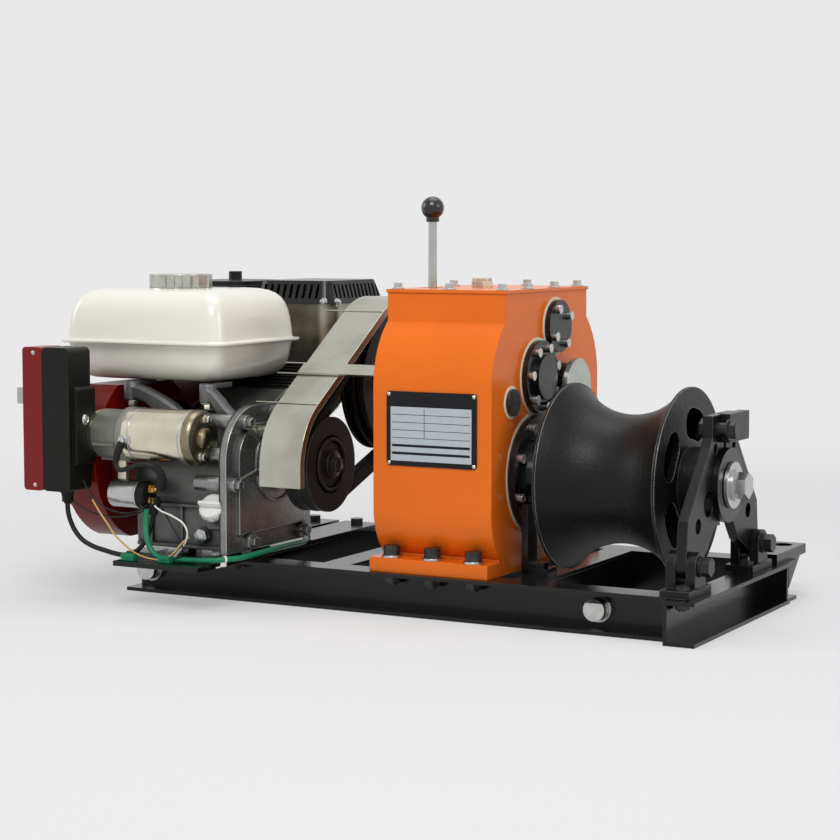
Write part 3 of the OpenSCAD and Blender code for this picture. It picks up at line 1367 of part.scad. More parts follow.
// Cables clipped along the engine: a round section swept along hand-chosen points
cable_r = 3;
green_r = 3.4;
battery_route = [[-556.5, -259.5, 121.7], [-556, -260, 112], [-553, -260, 100], [-546, -259, 86], [-536, -257, 75],
    [-522, -255, 68], [-507, -253, 64], [-492, -250, 60.4], [-480, -247, 59.4], [-467, -242, 64],
    [-458, -236, 76], [-452, -233, 92], [-449, -231, 108], [-448, -231, 116]];
green_route = [[-452, -240, 116], [-452, -242, 104], [-450, -245, 92], [-446, -248, 80], [-440, -250, 70], [-430, -251, 61.8],
    [-416, -251, 59.8], [-400, -250, 59.7], [-384, -248, 59.8], [-368, -247, 60], [-352, -244, 61.2],
    [-341, -238, 62.4], [-331, -220, 62.6], [-326, -196, 64.2], [-325, -160, 65], [-328, -120, 64.4],
    [-334, -78, 62.2], [-344, -50, 60.2], [-355, -29, 59.5]];
function unit(v) = v / norm(v);
function heading(p, i) = unit(p[min(i + 1, len(p) - 1)] - p[max(i - 1, 0)]);
function ring_at(p, i, r, n) =
    let (t = heading(p, i), side = unit(cross(t, abs(t.z) > 0.9 ? [0, 1, 0] : [0, 0, 1])), lift = cross(side, t))
    [for (k = [0:n - 1]) p[i] + r * (side * cos(360 * k / n) + lift * sin(360 * k / n))];
module cable(p, r) {
    n = 8;
    m = len(p);
    points = [for (i = [0:m - 1]) each ring_at(p, i, r, n)];
    faces = concat(
        [[for (k = [n - 1:-1:0]) k]],
        [for (i = [0:m - 2], k = [0:n - 1]) [i * n + k, i * n + (k + 1) % n, (i + 1) * n + (k + 1) % n]],
        [for (i = [0:m - 2], k = [0:n - 1]) [i * n + k, (i + 1) * n + (k + 1) % n, (i + 1) * n + k]],
        [[for (k = [0:n - 1]) (m - 1) * n + k]]
    );
    polyhedron(points, faces);
}
module battery_cable() { color("#161618") cable(battery_route, cable_r); }
module green_cable() { color("#11805c") cable(green_route, green_r); }

near_rail();
far_rail();
cross_members();
anchor_lug();
engine_bearer();
frame_bolts();
gearbox_housing();
gearbox_cover();
gearbox_screws();
oil_plugs();
rating_plate();
output_flange();
bearing_caps();
seal_disc();
shaft_bearings();
output_gear();
drum_shaft();
countershaft();
input_shaft();
dog_ring();
shift_fork();
fork_rail();
lever_bracket();
shift_lever();
lever_knob();
drum();
drum_bolt();
outboard_bearing();
near_arm();
far_arm();
clamp_bolt();
hinge_clevises();
hinge_pins();
flange_pillar();
crank_pulley();
driven_pulley();
drive_belts();
belt_guard();
crankcase();
side_cover();
engine_cylinder();
crankshaft();
flywheel();
blower_housing();
recoil_housing();
recoil_grip();
fuel_tank();
fuel_cap();
tank_arms();
muffler();
muffler_guard();
air_cleaner();
starter_motor();
solenoid();
control_box();
control_cover();
key_switch();
oil_dipstick();
battery_cable();
green_cable();
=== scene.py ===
"""Finishes, small pieces, wiring and studio of an engine-driven capstan winch.

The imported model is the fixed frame. Everything is in its frame: X runs to the drum end,
-Y is the near side, Z is up, and the origin is on the ground. Places are written in
millimetres, as on the drawing, and turned into Blender's metres where a mesh is made.
"""
from __future__ import annotations

import logging
import math
from dataclasses import dataclass, field, replace
from enum import Enum
from typing import Mapping, Sequence

import bmesh
import bpy
from mathutils import Matrix, Vector


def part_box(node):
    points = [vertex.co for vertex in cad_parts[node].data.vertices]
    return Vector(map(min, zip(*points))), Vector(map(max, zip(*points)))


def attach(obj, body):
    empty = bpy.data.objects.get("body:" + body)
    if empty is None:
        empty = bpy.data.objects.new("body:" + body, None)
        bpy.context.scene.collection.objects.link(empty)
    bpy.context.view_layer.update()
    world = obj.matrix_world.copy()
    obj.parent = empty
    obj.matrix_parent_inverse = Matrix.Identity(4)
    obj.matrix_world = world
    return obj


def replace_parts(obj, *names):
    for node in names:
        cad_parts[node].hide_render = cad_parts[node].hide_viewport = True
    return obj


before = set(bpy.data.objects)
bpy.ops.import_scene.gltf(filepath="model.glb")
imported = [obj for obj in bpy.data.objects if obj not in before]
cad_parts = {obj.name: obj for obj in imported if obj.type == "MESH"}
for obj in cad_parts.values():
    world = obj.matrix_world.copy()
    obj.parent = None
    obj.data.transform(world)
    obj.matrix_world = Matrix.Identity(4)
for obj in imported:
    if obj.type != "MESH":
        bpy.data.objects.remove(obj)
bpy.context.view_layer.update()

LOG = logging.getLogger("winch")

MM = 0.001          # metres in a millimetre
BEVEL_RAYS = 6      # rays that a shader rounds an edge with
CREVICE_RAYS = 5    # rays that a shader looks for corners with
EDGE_GAIN = 5.0     # how fast an edge counts as sharp
CREVICE = 9.0       # millimetres that dusting, stains and painted shade reach out of corners in paint and castings
FINE_CREVICE = 4.0  # the same in plated and bare metal

Point = Sequence[float]
Route = Sequence[Point]
Profile = Sequence[tuple[float, float]]
Colour = tuple[float, float, float]


def linear(red: int, green: int, blue: int) -> Colour:
    """Turns a screen colour into the linear one that a shader takes.

    Args:
        red: The red channel, 0 to 255.
        green: The green channel, 0 to 255.
        blue: The blue channel, 0 to 255.

    Returns:
        The three channels, 0 to 1.
    """
    def channel(value: int) -> float:
        """Undoes the screen's curve for one channel."""
        share = value / 255
        return share / 12.92 if share <= 0.04045 else ((share + 0.055) / 1.055) ** 2.4

    return channel(red), channel(green), channel(blue)


class Axis(Enum):
    """A direction that a turned or bolted piece points in."""

    RIGHT = (1.0, 0.0, 0.0)
    NEAR = (0.0, -1.0, 0.0)
    UP = (0.0, 0.0, 1.0)
    DOWN = (0.0, 0.0, -1.0)


Heading = Axis | Vector


def heading(along: Heading) -> Vector:
    """The unit vector of a named axis, or of any other direction."""
    return (Vector(along.value) if isinstance(along, Axis) else along).normalized()


class Signal:
    """One output socket of a shader node, used in ordinary arithmetic."""

    def __init__(self, graph: "Graph", socket: bpy.types.NodeSocket) -> None:
        """Wraps a socket.

        Args:
            graph: The node tree's helper.
            socket: The output socket.
        """
        self.graph = graph
        self.socket = socket

    def __add__(self, other: "Signal | float") -> "Signal":
        """Sum."""
        return self.graph.maths("ADD", self, other)

    __radd__ = __add__

    def __mul__(self, other: "Signal | float") -> "Signal":
        """Product."""
        return self.graph.maths("MULTIPLY", self, other)

    __rmul__ = __mul__

    def __sub__(self, other: "Signal | float") -> "Signal":
        """Difference."""
        return self.graph.maths("SUBTRACT", self, other)

    def __rsub__(self, other: float) -> "Signal":
        """Difference, with a number first."""
        return self.graph.maths("SUBTRACT", other, self)

    def above(self, limit: float) -> "Signal":
        """1 where the value is over the limit, otherwise 0."""
        return self.graph.maths("GREATER_THAN", self, limit)

    def least(self, other: "Signal | float") -> "Signal":
        """The smaller of two values."""
        return self.graph.maths("MINIMUM", self, other)

    def most(self, other: "Signal | float") -> "Signal":
        """The larger of two values."""
        return self.graph.maths("MAXIMUM", self, other)

    def spread(self, low: float, high: float) -> "Signal":
        """Spreads a band of the value over 0 to 1, with a soft step between.

        Args:
            low: The value that gives 0, as any under it does.
            high: The value that gives 1, as any over it does.

        Returns:
            The spread value.
        """
        return self.graph.value(
            "Result", "ShaderNodeMapRange", {"interpolation_type": "SMOOTHSTEP"},
            {"Value": self, "From Min": low, "From Max": high},
        )


class Graph:
    """A material's or a world's node tree, and the ways of adding to it."""

    def __init__(self, tree: bpy.types.NodeTree) -> None:
        """Empties the tree.

        Args:
            tree: The node tree to build in.
        """
        self.tree = tree
        tree.nodes.clear()

    def node(
        self, kind: str, settings: Mapping[str, object] | None = None,
        inputs: Mapping[str | int, object] | None = None,
    ) -> bpy.types.Node:
        """Adds a node, sets it, then feeds its sockets.

        Args:
            kind: Blender's type name of the node.
            settings: The node's own settings, such as a Math node's operation.
            inputs: Values or signals by socket name or number.

        Returns:
            The new node.
        """
        made = self.tree.nodes.new(kind)
        for name, value in (settings or {}).items():
            setattr(made, name, value)
        for name, value in (inputs or {}).items():
            self.feed(made.inputs[name], value)
        return made

    def feed(self, socket: bpy.types.NodeSocket, value: object) -> None:
        """Links a signal to a socket, or sets the socket's own value.

        Args:
            socket: The input socket.
            value: A signal, a number, a vector or a colour.
        """
        if isinstance(value, Signal):
            self.tree.links.new(value.socket, socket)
        elif isinstance(value, tuple) and socket.type == "RGBA":
            socket.default_value = (*value, 1.0)
        else:
            socket.default_value = value

    def value(
        self, output: str | int, kind: str, settings: Mapping[str, object] | None = None,
        inputs: Mapping[str | int, object] | None = None,
    ) -> Signal:
        """Adds a node and gives one of its outputs.

        Args:
            output: The output's name or number.
            kind: Blender's type name of the node.
            settings: The node's own settings.
            inputs: Values or signals by socket name or number.

        Returns:
            The output.
        """
        return Signal(self, self.node(kind, settings, inputs).outputs[output])

    def maths(self, operation: str, first: Signal | float, second: Signal | float) -> Signal:
        """Adds a Math node on two values."""
        return self.value(0, "ShaderNodeMath", {"operation": operation}, {0: first, 1: second})

    def vector(self, operation: str, *inputs: Signal | Point) -> Signal:
        """Adds a Vector Math node.

        Args:
            operation: The node's operation.
            inputs: What it works on.

        Returns:
            A value for a length or a dot product, and a vector for the rest.
        """
        output = "Value" if operation in ("DOT_PRODUCT", "LENGTH") else "Vector"
        return self.value(output, "ShaderNodeVectorMath", {"operation": operation},
                          dict(enumerate(inputs)))

    def mix(self, share: Signal | float, first: Signal | Colour, second: Signal | Colour) -> Signal:
        """Blends two colours: the first at 0 and the second at 1."""
        inputs = {0: share, 6: first, 7: second}
        return self.value(2, "ShaderNodeMix", {"data_type": "RGBA"}, inputs)

    def blend(self, share: Signal, first: Signal, second: Signal) -> Signal:
        """Blends two shaders: the first at 0 and the second at 1."""
        return self.value(0, "ShaderNodeMixShader", inputs={0: share, 1: first, 2: second})

    def place(self) -> Signal:
        """The point on the object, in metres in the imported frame."""
        return self.value("Object", "ShaderNodeTexCoord")

    def height(self) -> Signal:
        """How high the point is above the ground, in metres."""
        return self.value(2, "ShaderNodeSeparateXYZ", inputs={0: self.place()})

    def noise(self, size: float, detail: float = 2.0, stretch: Point = (1, 1, 1)) -> Signal:
        """Smooth noise from 0 to 1.

        Args:
            size: Millimetres from one blot to the next.
            detail: Octaves of finer noise.
            stretch: How much finer it is along X, Y and Z.

        Returns:
            The noise value.
        """
        where = self.vector("MULTIPLY", self.place(), tuple(stretch))
        return self.value(0, "ShaderNodeTexNoise", inputs={
            "Vector": where, "Scale": 1 / (size * MM), "Detail": detail,
        })

    def cells(self, size: float) -> Signal:
        """Distance to the nearest of scattered points that lie about size millimetres apart."""
        inputs = {"Vector": self.place(), "Scale": 1 / (size * MM)}
        return self.value("Distance", "ShaderNodeTexVoronoi", inputs=inputs)

    def rounded(self, radius: float) -> Signal:
        """The surface's normal with its sharp edges rounded by a radius in millimetres."""
        return self.value(0, "ShaderNodeBevel", {"samples": BEVEL_RAYS}, {"Radius": radius * MM})

    def edges(self, radius: float) -> Signal:
        """Finds sharp edges.

        Args:
            radius: How wide an edge counts, in millimetres.

        Returns:
            0 on flat faces and up to 1 along sharp edges.
        """
        plain = self.value("Normal", "ShaderNodeNewGeometry")
        tilt = 1.0 - self.vector("DOT_PRODUCT", self.rounded(radius), plain)
        return (tilt * EDGE_GAIN).least(1.0)

    def open_air(self, reach: float) -> Signal:
        """1 in the open and less in corners and crevices within reach, in millimetres."""
        return self.value("AO", "ShaderNodeAmbientOcclusion", {"samples": CREVICE_RAYS},
                          {"Distance": reach * MM})

    def bump(self, height: Signal, depth: float, normal: Signal) -> Signal:
        """A normal that a height field tilts.

        Args:
            height: The height, 0 to 1.
            depth: What 1 stands for, in millimetres.
            normal: The normal to start from.

        Returns:
            The tilted normal.
        """
        return self.value(0, "ShaderNodeBump", inputs={
            "Height": height, "Distance": depth * MM, "Strength": 1.0, "Normal": normal,
        })

    def end(self, shader: Signal, kind: str = "ShaderNodeOutputMaterial") -> None:
        """Ends the tree in an output node."""
        self.node(kind, inputs={"Surface": shader})

    def finish(self, **inputs: object) -> None:
        """Ends a material in a Principled shader; underscores in names stand for spaces."""
        names = {name.replace("_", " "): value for name, value in inputs.items()}
        self.end(self.value(0, "ShaderNodeBsdfPrincipled", inputs=names))


def new_graph(name: str) -> tuple[bpy.types.Material, Graph]:
    """Makes an empty material with its node tree's helper.

    Args:
        name: The material's name.

    Returns:
        The material and the helper.
    """
    material = bpy.data.materials.new(name)
    material.use_nodes = True
    return material, Graph(material.node_tree)


@dataclass(frozen=True)
class Finish:
    """A finish: its name, a slot name for a new piece in it, which this script does not use, and
    its one material.
    """

    name: str
    slot: str = field(default="", kw_only=True)

    def material(self) -> bpy.types.Material:
        """Gives the finish's material, and makes it the first time.

        Returns:
            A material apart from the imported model's own of a like name.
        """
        title = f"finish_{self.name}"
        ready = bpy.data.materials.get(title)
        if ready is None:
            ready, graph = new_graph(title)
            self.draw(graph)
        return ready

    def draw(self, graph: Graph) -> None:
        """Builds the material's nodes."""
        raise NotImplementedError


@dataclass(frozen=True)
class Enamel(Finish):
    """Sprayed gloss paint: orange peel, soft edges, chips along them, and a colour in corners that
    is pale dusting on black paint and painted shade on orange and red.
    """

    colour: Colour
    under: Colour = (0.25, 0.24, 0.22)
    rough: float = 0.3
    coat: float = 0.35
    peel: float = 0.05
    wear: float = 0.35
    round_over: float = 0.9
    # The corner colour and its strength: pale dusting on black paint, painted shade where it is a
    # darker copy of the paint.
    dust_and_shade: float = 0.25
    dust_and_shade_colour: Colour = (0.09, 0.07, 0.05)
    mirror: float = 0.3
    blot: float = 90.0
    scuff: float = 6.0
    peel_sizes: tuple[float, float] = (2.6, 7.0)

    def draw(self, graph: Graph) -> None:
        """Builds the paint.

        Args:
            graph: The material's helper.
        """
        edge = graph.edges(self.round_over * 1.3)
        opened = graph.open_air(CREVICE)
        blots = graph.noise(self.blot, 3.0)
        scuffs = graph.noise(self.scuff, 6.0)
        chips = (edge * opened * scuffs).spread(0.62 - 0.3 * self.wear, 0.7 - 0.25 * self.wear)
        chips = chips * min(1.0, self.wear * 2)
        shade = tuple(channel * 0.86 for channel in self.colour)
        paint = graph.mix(blots, shade, self.colour)
        # Corners and crevices take the corner colour: painted shade on the orange and red paint,
        # pale dusting on the black.
        corners = ((1.0 - opened) * (scuffs + 0.35)).spread(0.25, 0.85) * self.dust_and_shade
        dusty_and_shaded = graph.mix(corners, paint, self.dust_and_shade_colour)
        fine, coarse = (graph.noise(size, 1.0) for size in self.peel_sizes)
        peel = fine * 0.7 + coarse * 0.6
        graph.finish(
            Base_Color=graph.mix(chips, dusty_and_shaded, self.under),
            Roughness=(blots * 0.1 + scuffs * 0.06 + chips * 0.3 + corners * 0.5
                       + (self.rough - 0.08)),
            Metallic=chips * 0.5,
            Coat_Weight=self.coat, Coat_Roughness=0.12, Specular_IOR_Level=self.mirror,
            Normal=graph.bump(peel, self.peel, graph.rounded(self.round_over)),
        )


@dataclass(frozen=True)
class Casting(Finish):
    """Cast metal: a sandy skin, stains with painted shade in the hollows, and brighter edges that
    are worn by rubbing and on some castings a painted highlight.
    """

    colour: Colour
    # The colour of bright edges: worn metal, and on the fins and the drum's rim a painted
    # highlight.
    rubbed_and_highlight: Colour
    metal: float = 0.0
    rough: float = 0.5
    grain: float = 1.2
    depth: float = 0.12
    # Stains, darkest in the hollows, where the darkening is painted shade.
    stain_and_shade: float = 0.5
    stain_and_shade_colour: Colour = (0.02, 0.018, 0.015)
    wear: float = 0.5
    round_over: float = 1.2
    mirror: float = 0.3
    blot: float = 34.0
    scuff: float = 9.0

    def draw(self, graph: Graph) -> None:
        """Builds the casting's skin.

        Args:
            graph: The material's helper.
        """
        edge = graph.edges(self.round_over * 1.2)
        opened = graph.open_air(CREVICE)
        blots = graph.noise(self.blot, 4.0)
        sand = graph.noise(self.grain, 3.0) * 0.65 + (1.0 - graph.cells(self.grain * 2.2)) * 0.35
        scuffs = graph.noise(self.scuff, 5.0) + 0.3
        # Brighter along open edges: worn metal, and on the fins and the drum's rim a painted
        # highlight.
        rub_and_highlight = (edge * opened * scuffs).spread(0.3, 0.75) * self.wear
        # Darker in blots and in hollows: stains on open faces, painted shade in the hollows.
        stain_and_shade_mask = (1.2 - opened + blots * 0.5).spread(0.45, 1.1) * self.stain_and_shade
        shade = tuple(channel * 0.72 for channel in self.colour)
        skin = graph.mix(blots.spread(0.3, 0.7), shade, self.colour)
        graph.finish(
            Base_Color=graph.mix(rub_and_highlight, graph.mix(stain_and_shade_mask, skin, self.stain_and_shade_colour), self.rubbed_and_highlight),
            Roughness=sand * 0.14 + stain_and_shade_mask * 0.2 - rub_and_highlight * 0.15 + (self.rough - 0.07),
            Metallic=(1.0 - stain_and_shade_mask) * self.metal + rub_and_highlight * (0.9 - self.metal),
            Specular_IOR_Level=self.mirror,
            Normal=graph.bump(sand, self.depth, graph.rounded(self.round_over)),
        )


@dataclass(frozen=True)
class Bright(Finish):
    """Bare or plated metal: clouded plating or fine tool marks along one direction."""

    colour: Colour
    cloud: Colour
    rough: float = 0.3
    marks: Point = (1, 1, 1)
    mark_size: float = 2.0
    depth: float = 0.01
    metal: float = 1.0
    tarnish: float = 0.3
    tarnish_colour: Colour = (0.12, 0.10, 0.08)
    round_over: float = 0.5
    cloud_size: float = 14.0

    def draw(self, graph: Graph) -> None:
        """Builds the metal.

        Args:
            graph: The material's helper.
        """
        clouds = graph.noise(self.cloud_size, 3.0)
        marks = graph.noise(self.mark_size, 4.0, self.marks)
        opened = graph.open_air(FINE_CREVICE)
        grime = ((1.0 - opened) + clouds * 0.3).spread(0.3, 0.95) * self.tarnish
        skin = graph.mix(clouds.spread(0.3, 0.75), self.colour, self.cloud)
        graph.finish(
            Base_Color=graph.mix(grime, skin, self.tarnish_colour),
            Roughness=marks * 0.05 + clouds * 0.04 + grime * 0.3 + (self.rough - 0.045),
            Metallic=(1.0 - grime * 0.6) * self.metal,
            Normal=graph.bump(marks, self.depth, graph.rounded(self.round_over)),
        )


@dataclass(frozen=True)
class Moulding(Finish):
    """Moulded plastic or rubber: a fine leathery grain, worn smoother along its edges, where a
    painted sheen also makes it paler.
    """

    colour: Colour
    pale: Colour
    rough: float = 0.45
    grain: float = 0.8
    depth: float = 0.03
    coat: float = 0.0
    round_over: float = 1.0
    mirror: float = 0.3
    blot: float = 26.0
    speck: float = 5.0

    def draw(self, graph: Graph) -> None:
        """Builds the moulding.

        Args:
            graph: The material's helper.
        """
        edge = graph.edges(self.round_over * 1.2)
        blots = graph.noise(self.blot, 4.0)
        grain = graph.cells(self.grain) * 0.6 + graph.noise(self.grain * 2, 2.0) * 0.4
        # Paler along edges: a painted sheen.
        shine = (edge * (blots + 0.4)).spread(0.3, 0.9)
        dusting = (graph.noise(self.speck, 6.0) * blots).spread(0.2, 0.5) * 0.25
        graph.finish(
            Base_Color=graph.mix(dusting + shine * 0.25, self.colour, self.pale),
            Roughness=grain * 0.12 + dusting * 0.4 - shine * 0.08 + (self.rough - 0.05),
            Coat_Weight=self.coat, Coat_Roughness=0.1, Specular_IOR_Level=self.mirror,
            Normal=graph.bump(grain, self.depth, graph.rounded(self.round_over)),
        )


@dataclass(frozen=True)
class TwoMetals(Finish):
    """Bolts in one node that are plated zinc on one side of a height and black on the other."""

    height: float
    zinc_above: bool
    zinc: Colour = linear(205, 206, 204)
    black: Colour = linear(30, 30, 30)
    cloud: Colour = linear(120, 118, 112)
    tarnish: Colour = linear(60, 52, 42)
    cloud_size: float = 7.0
    mark_size: float = 1.6

    def draw(self, graph: Graph) -> None:
        """Builds the two metals.

        Args:
            graph: The material's helper.
        """
        share = graph.height().above(self.height * MM)
        share = share if self.zinc_above else 1.0 - share
        clouds = graph.noise(self.cloud_size, 4.0)
        marks = graph.noise(self.mark_size, 3.0)
        grime = ((1.0 - graph.open_air(FINE_CREVICE)) + clouds * 0.4).spread(0.35, 1.0) * 0.35
        skin = graph.mix(share, self.black, self.zinc)
        shaded = graph.mix(clouds.spread(0.3, 0.8) * 0.3, skin, self.cloud)
        graph.finish(
            Base_Color=graph.mix(grime, shaded, self.tarnish),
            Roughness=marks * 0.14 + clouds * 0.12 + 0.2,
            Metallic=share * 0.55 + 0.4,
            Normal=graph.bump(marks, 0.01, graph.rounded(0.5)),
        )


class Stock:
    """The finishes that the winch is made in."""

    # Its dark orange corner colour is painted shade.
    ORANGE = Enamel("orange_enamel_paint", linear(238, 114, 22), linear(120, 116, 110), mirror=0.2,
                    rough=0.26, coat=0.12, peel=0.07, wear=0.2, round_over=1.6, dust_and_shade=0.55,
                    dust_and_shade_colour=linear(96, 34, 12), slot="orange_enamel")
    FRAME = Enamel("frame_black_paint", linear(12, 12, 13), linear(96, 94, 90), rough=0.24,
                   coat=0.12, peel=0.09, wear=0.5, round_over=0.8, dust_and_shade=0.12,
                   dust_and_shade_colour=linear(58, 55, 50), slot="frame_black")
    CAPS = Enamel("cap_black_paint", linear(13, 13, 14), linear(110, 108, 104), rough=0.26,
                  coat=0.15, peel=0.06, wear=0.5, round_over=0.7, dust_and_shade=0.15,
                  dust_and_shade_colour=linear(60, 56, 50))
    CREAM = Enamel("cream_enamel_paint", linear(238, 236, 226), linear(190, 188, 180), rough=0.22,
                   coat=0.7, peel=0.03, wear=0.0, round_over=1.5, dust_and_shade=0.3,
                   dust_and_shade_colour=linear(120, 112, 98), slot="cream_enamel")
    # Its dark red corner colour is painted shade.
    RED = Enamel("fan_red_paint", linear(112, 14, 9), linear(120, 110, 104), rough=0.26, coat=0.1,
                 mirror=0.2, peel=0.05, wear=0.25, round_over=1.6, dust_and_shade=0.6,
                 dust_and_shade_colour=linear(34, 14, 10))
    # Its pale, strongly worn edges are a painted rim highlight.
    BELL_IRON = Casting("drum_cast_iron", linear(17, 17, 16), linear(170, 168, 162), metal=0.1,
                        rough=0.4, grain=2.6, depth=0.5, stain_and_shade=0.4, wear=0.95, round_over=1.4,
                        mirror=0.25)
    ARM_IRON = Casting("arm_cast_iron", linear(14, 14, 15), linear(128, 125, 120), metal=0.05,
                       rough=0.3, grain=1.8, depth=0.09, stain_and_shade=0.25, wear=0.5, round_over=1.6)
    PULLEY = Casting("pulley_iron", linear(30, 29, 28), linear(140, 136, 130), metal=0.3,
                     rough=0.42, grain=1.4, depth=0.10, stain_and_shade=0.4, wear=0.5, slot="pulley_iron")
    # Its strong stains darken the hollows as painted shade.
    ALLOY = Casting("engine_alloy", linear(112, 114, 112), linear(200, 200, 196), metal=0.7,
                    rough=0.38, grain=1.1, depth=0.14, stain_and_shade=0.95, stain_and_shade_colour=linear(30, 27, 23),
                    wear=0.7, round_over=1.5, slot="engine_alloy")
    COVER_ALLOY = Casting("cover_alloy", linear(150, 152, 150), linear(232, 232, 228), metal=0.85,
                          rough=0.26, grain=1.1, depth=0.12, stain_and_shade=0.9,
                          stain_and_shade_colour=linear(36, 33, 29), wear=0.8, round_over=1.5,
                          slot="engine_alloy")
    ENGINE_BLACK = Casting("engine_black", linear(13, 13, 14), linear(84, 82, 78), metal=0.05,
                           rough=0.32, grain=1.0, depth=0.08, stain_and_shade=0.4, wear=0.3,
                           slot="engine_black")
    # Its pale, fully worn edges are painted highlights on the fins.
    FIN_BLACK = Casting("fin_black", linear(15, 15, 16), linear(176, 176, 172), metal=0.1,
                        rough=0.34, grain=1.0, depth=0.08, stain_and_shade=0.4, wear=1.0, round_over=0.7)
    ARM_ALLOY = Casting("arm_alloy", linear(108, 109, 110), linear(196, 196, 192), metal=0.6,
                        rough=0.4, grain=1.0, depth=0.1, stain_and_shade=0.9,
                        stain_and_shade_colour=linear(34, 31, 27), wear=0.7, round_over=2.0,
                        slot="engine_alloy")
    ZINC = Bright("zinc_plate", linear(196, 197, 195), linear(186, 188, 189), rough=0.24,
                  slot="zinc")
    CAP_ZINC = Bright("cap_zinc", linear(196, 197, 188), linear(182, 183, 174), rough=0.22,
                      tarnish=0.4, tarnish_colour=linear(60, 56, 46))
    MUFFLER = Bright("muffler_steel", linear(168, 164, 152), linear(120, 106, 88), rough=0.34,
                     tarnish=0.5, tarnish_colour=linear(70, 54, 40), cloud_size=40.0)
    STEEL = Bright("ground_steel", linear(186, 189, 184), linear(176, 178, 174), rough=0.2,
                   marks=(1, 1, 0.1), mark_size=1.2, depth=0.006)
    BOLT = Bright("black_bolt", linear(30, 29, 28), linear(44, 41, 38), rough=0.34, metal=0.4,
                  slot="dark_bolts")
    SHEET = Bright("galvanised_sheet", linear(190, 189, 176), linear(168, 166, 152), rough=0.22,
                   marks=(0.08, 1, 1), mark_size=1.6, depth=0.012, tarnish=0.6,
                   tarnish_colour=linear(96, 66, 44), round_over=1.2, cloud_size=60.0,
                   slot="guard_sheet")
    BRASS = Bright("bare_brass", linear(206, 160, 84), linear(170, 120, 60), rough=0.3,
                   slot="zinc")
    STARTER_ZINC = Bright("starter_zinc", linear(222, 217, 196), linear(208, 202, 180), rough=0.2,
                          marks=(1, 0.1, 0.1), mark_size=1.2, depth=0.006, tarnish=0.3,
                          tarnish_colour=linear(110, 96, 70), cloud_size=30.0)
    BLACK_PLASTIC = Moulding("black_plastic", linear(17, 18, 15), linear(36, 36, 34), rough=0.36,
                             mirror=0.2, slot="black_plastic")
    BALL = Moulding("gloss_black", linear(16, 16, 16), linear(40, 40, 40), rough=0.16, grain=6.0,
                    depth=0.004, coat=0.6)
    RED_PLASTIC = Moulding("red_plastic", linear(120, 14, 8), linear(126, 22, 14), rough=0.2,
                           grain=3.0, depth=0.008, mirror=0.3)
    WHITE_PLASTIC = Moulding("white_plastic", linear(226, 226, 222), linear(190, 188, 180),
                             slot="white_plastic")
    WHITE_WIRE = replace(WHITE_PLASTIC, slot="black_cable")
    RUBBER = Moulding("belt_rubber", linear(22, 22, 22), linear(60, 58, 56), rough=0.7,
                      slot="black_cable")
    CABLE = Moulding("black_cable", linear(18, 18, 18), linear(52, 52, 50), rough=0.42, grain=0.5,
                     depth=0.01, round_over=0.3, slot="black_cable")
    GREEN = Moulding("green_sleeve", linear(18, 120, 84), linear(80, 160, 130), rough=0.36,
                     grain=0.5, depth=0.01, round_over=0.3, slot="green_sleeve")
    CAST_GREY = Casting("starter_cast_grey", linear(144, 144, 136), linear(204, 202, 194),
                        metal=0.6, rough=0.5, grain=0.9, depth=0.08, stain_and_shade=0.6,
                        stain_and_shade_colour=linear(58, 52, 42), wear=0.4, slot="engine_alloy")
    BRONZE = Bright("starter_cap_bronze", linear(150, 142, 118), linear(120, 110, 86), rough=0.3,
                    tarnish=0.6, tarnish_colour=linear(46, 38, 28), slot="zinc")
    GREY_PLASTIC = Moulding("neck_grey_plastic", linear(86, 88, 86), linear(140, 140, 136),
                            slot="black_plastic")
    TAN_WIRE = Moulding("wire_tan", linear(196, 160, 96), linear(220, 196, 140), grain=0.5,
                        depth=0.01, round_over=0.2, slot="black_cable")
    PAPER = Moulding("gasket_paper", linear(44, 42, 40), linear(90, 86, 80), rough=0.7,
                     slot="black_cable")
    DARK_BOLTS = TwoMetals("frame_bolt_metals", 33.0, False)
    PLUG_METALS = TwoMetals("oil_plug_metals", 382.0, True, zinc=linear(204, 198, 180))
    DISC_GREY = Bright("seal_disc_grey", linear(186, 190, 182), linear(168, 172, 164), rough=0.3)
    GASKET = Moulding("cream_gasket", linear(232, 222, 200), linear(206, 180, 146), rough=0.5,
                      grain=0.9, depth=0.03, round_over=0.2, slot="white_plastic")
    PLATE = Enamel("plate_enamel", linear(14, 15, 20), linear(60, 60, 62), rough=0.3, coat=0.1,
                   peel=0.01, wear=0.1, round_over=0.2, dust_and_shade=0.1, mirror=0.2, slot="plate_metal")
    PANEL = Bright("plate_panel", linear(182, 190, 197), linear(175, 183, 190), rough=0.34,
                   metal=0.2, marks=(0.1, 1, 1), mark_size=1.0, tarnish=0.05, slot="plate_metal")


def add_object(name: str, data: bpy.types.ID) -> bpy.types.Object:
    """Makes an object of some data and puts it into the scene.

    Args:
        name: The object's name.
        data: Its mesh, lamp or camera.

    Returns:
        The object.
    """
    made = bpy.data.objects.new(name, data)
    bpy.context.scene.collection.objects.link(made)
    return made


def look(viewer: bpy.types.Object, at: Point, ahead: Vector) -> None:
    """Places a camera or a lamp and turns it to look along a direction.

    Args:
        viewer: The camera or the lamp.
        at: Its place in metres.
        ahead: The direction.
    """
    viewer.location = at
    viewer.rotation_mode = "QUATERNION"
    viewer.rotation_quaternion = ahead.to_track_quat("-Z", "Y")


def dress(finish: Finish, *nodes: str) -> None:
    """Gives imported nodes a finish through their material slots.

    Args:
        finish: The finish.
        nodes: The nodes' names.
    """
    for name in nodes:
        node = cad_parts[name]
        if not node.material_slots:
            node.data.materials.append(finish.material())
        for slot in node.material_slots:
            slot.material = finish.material()


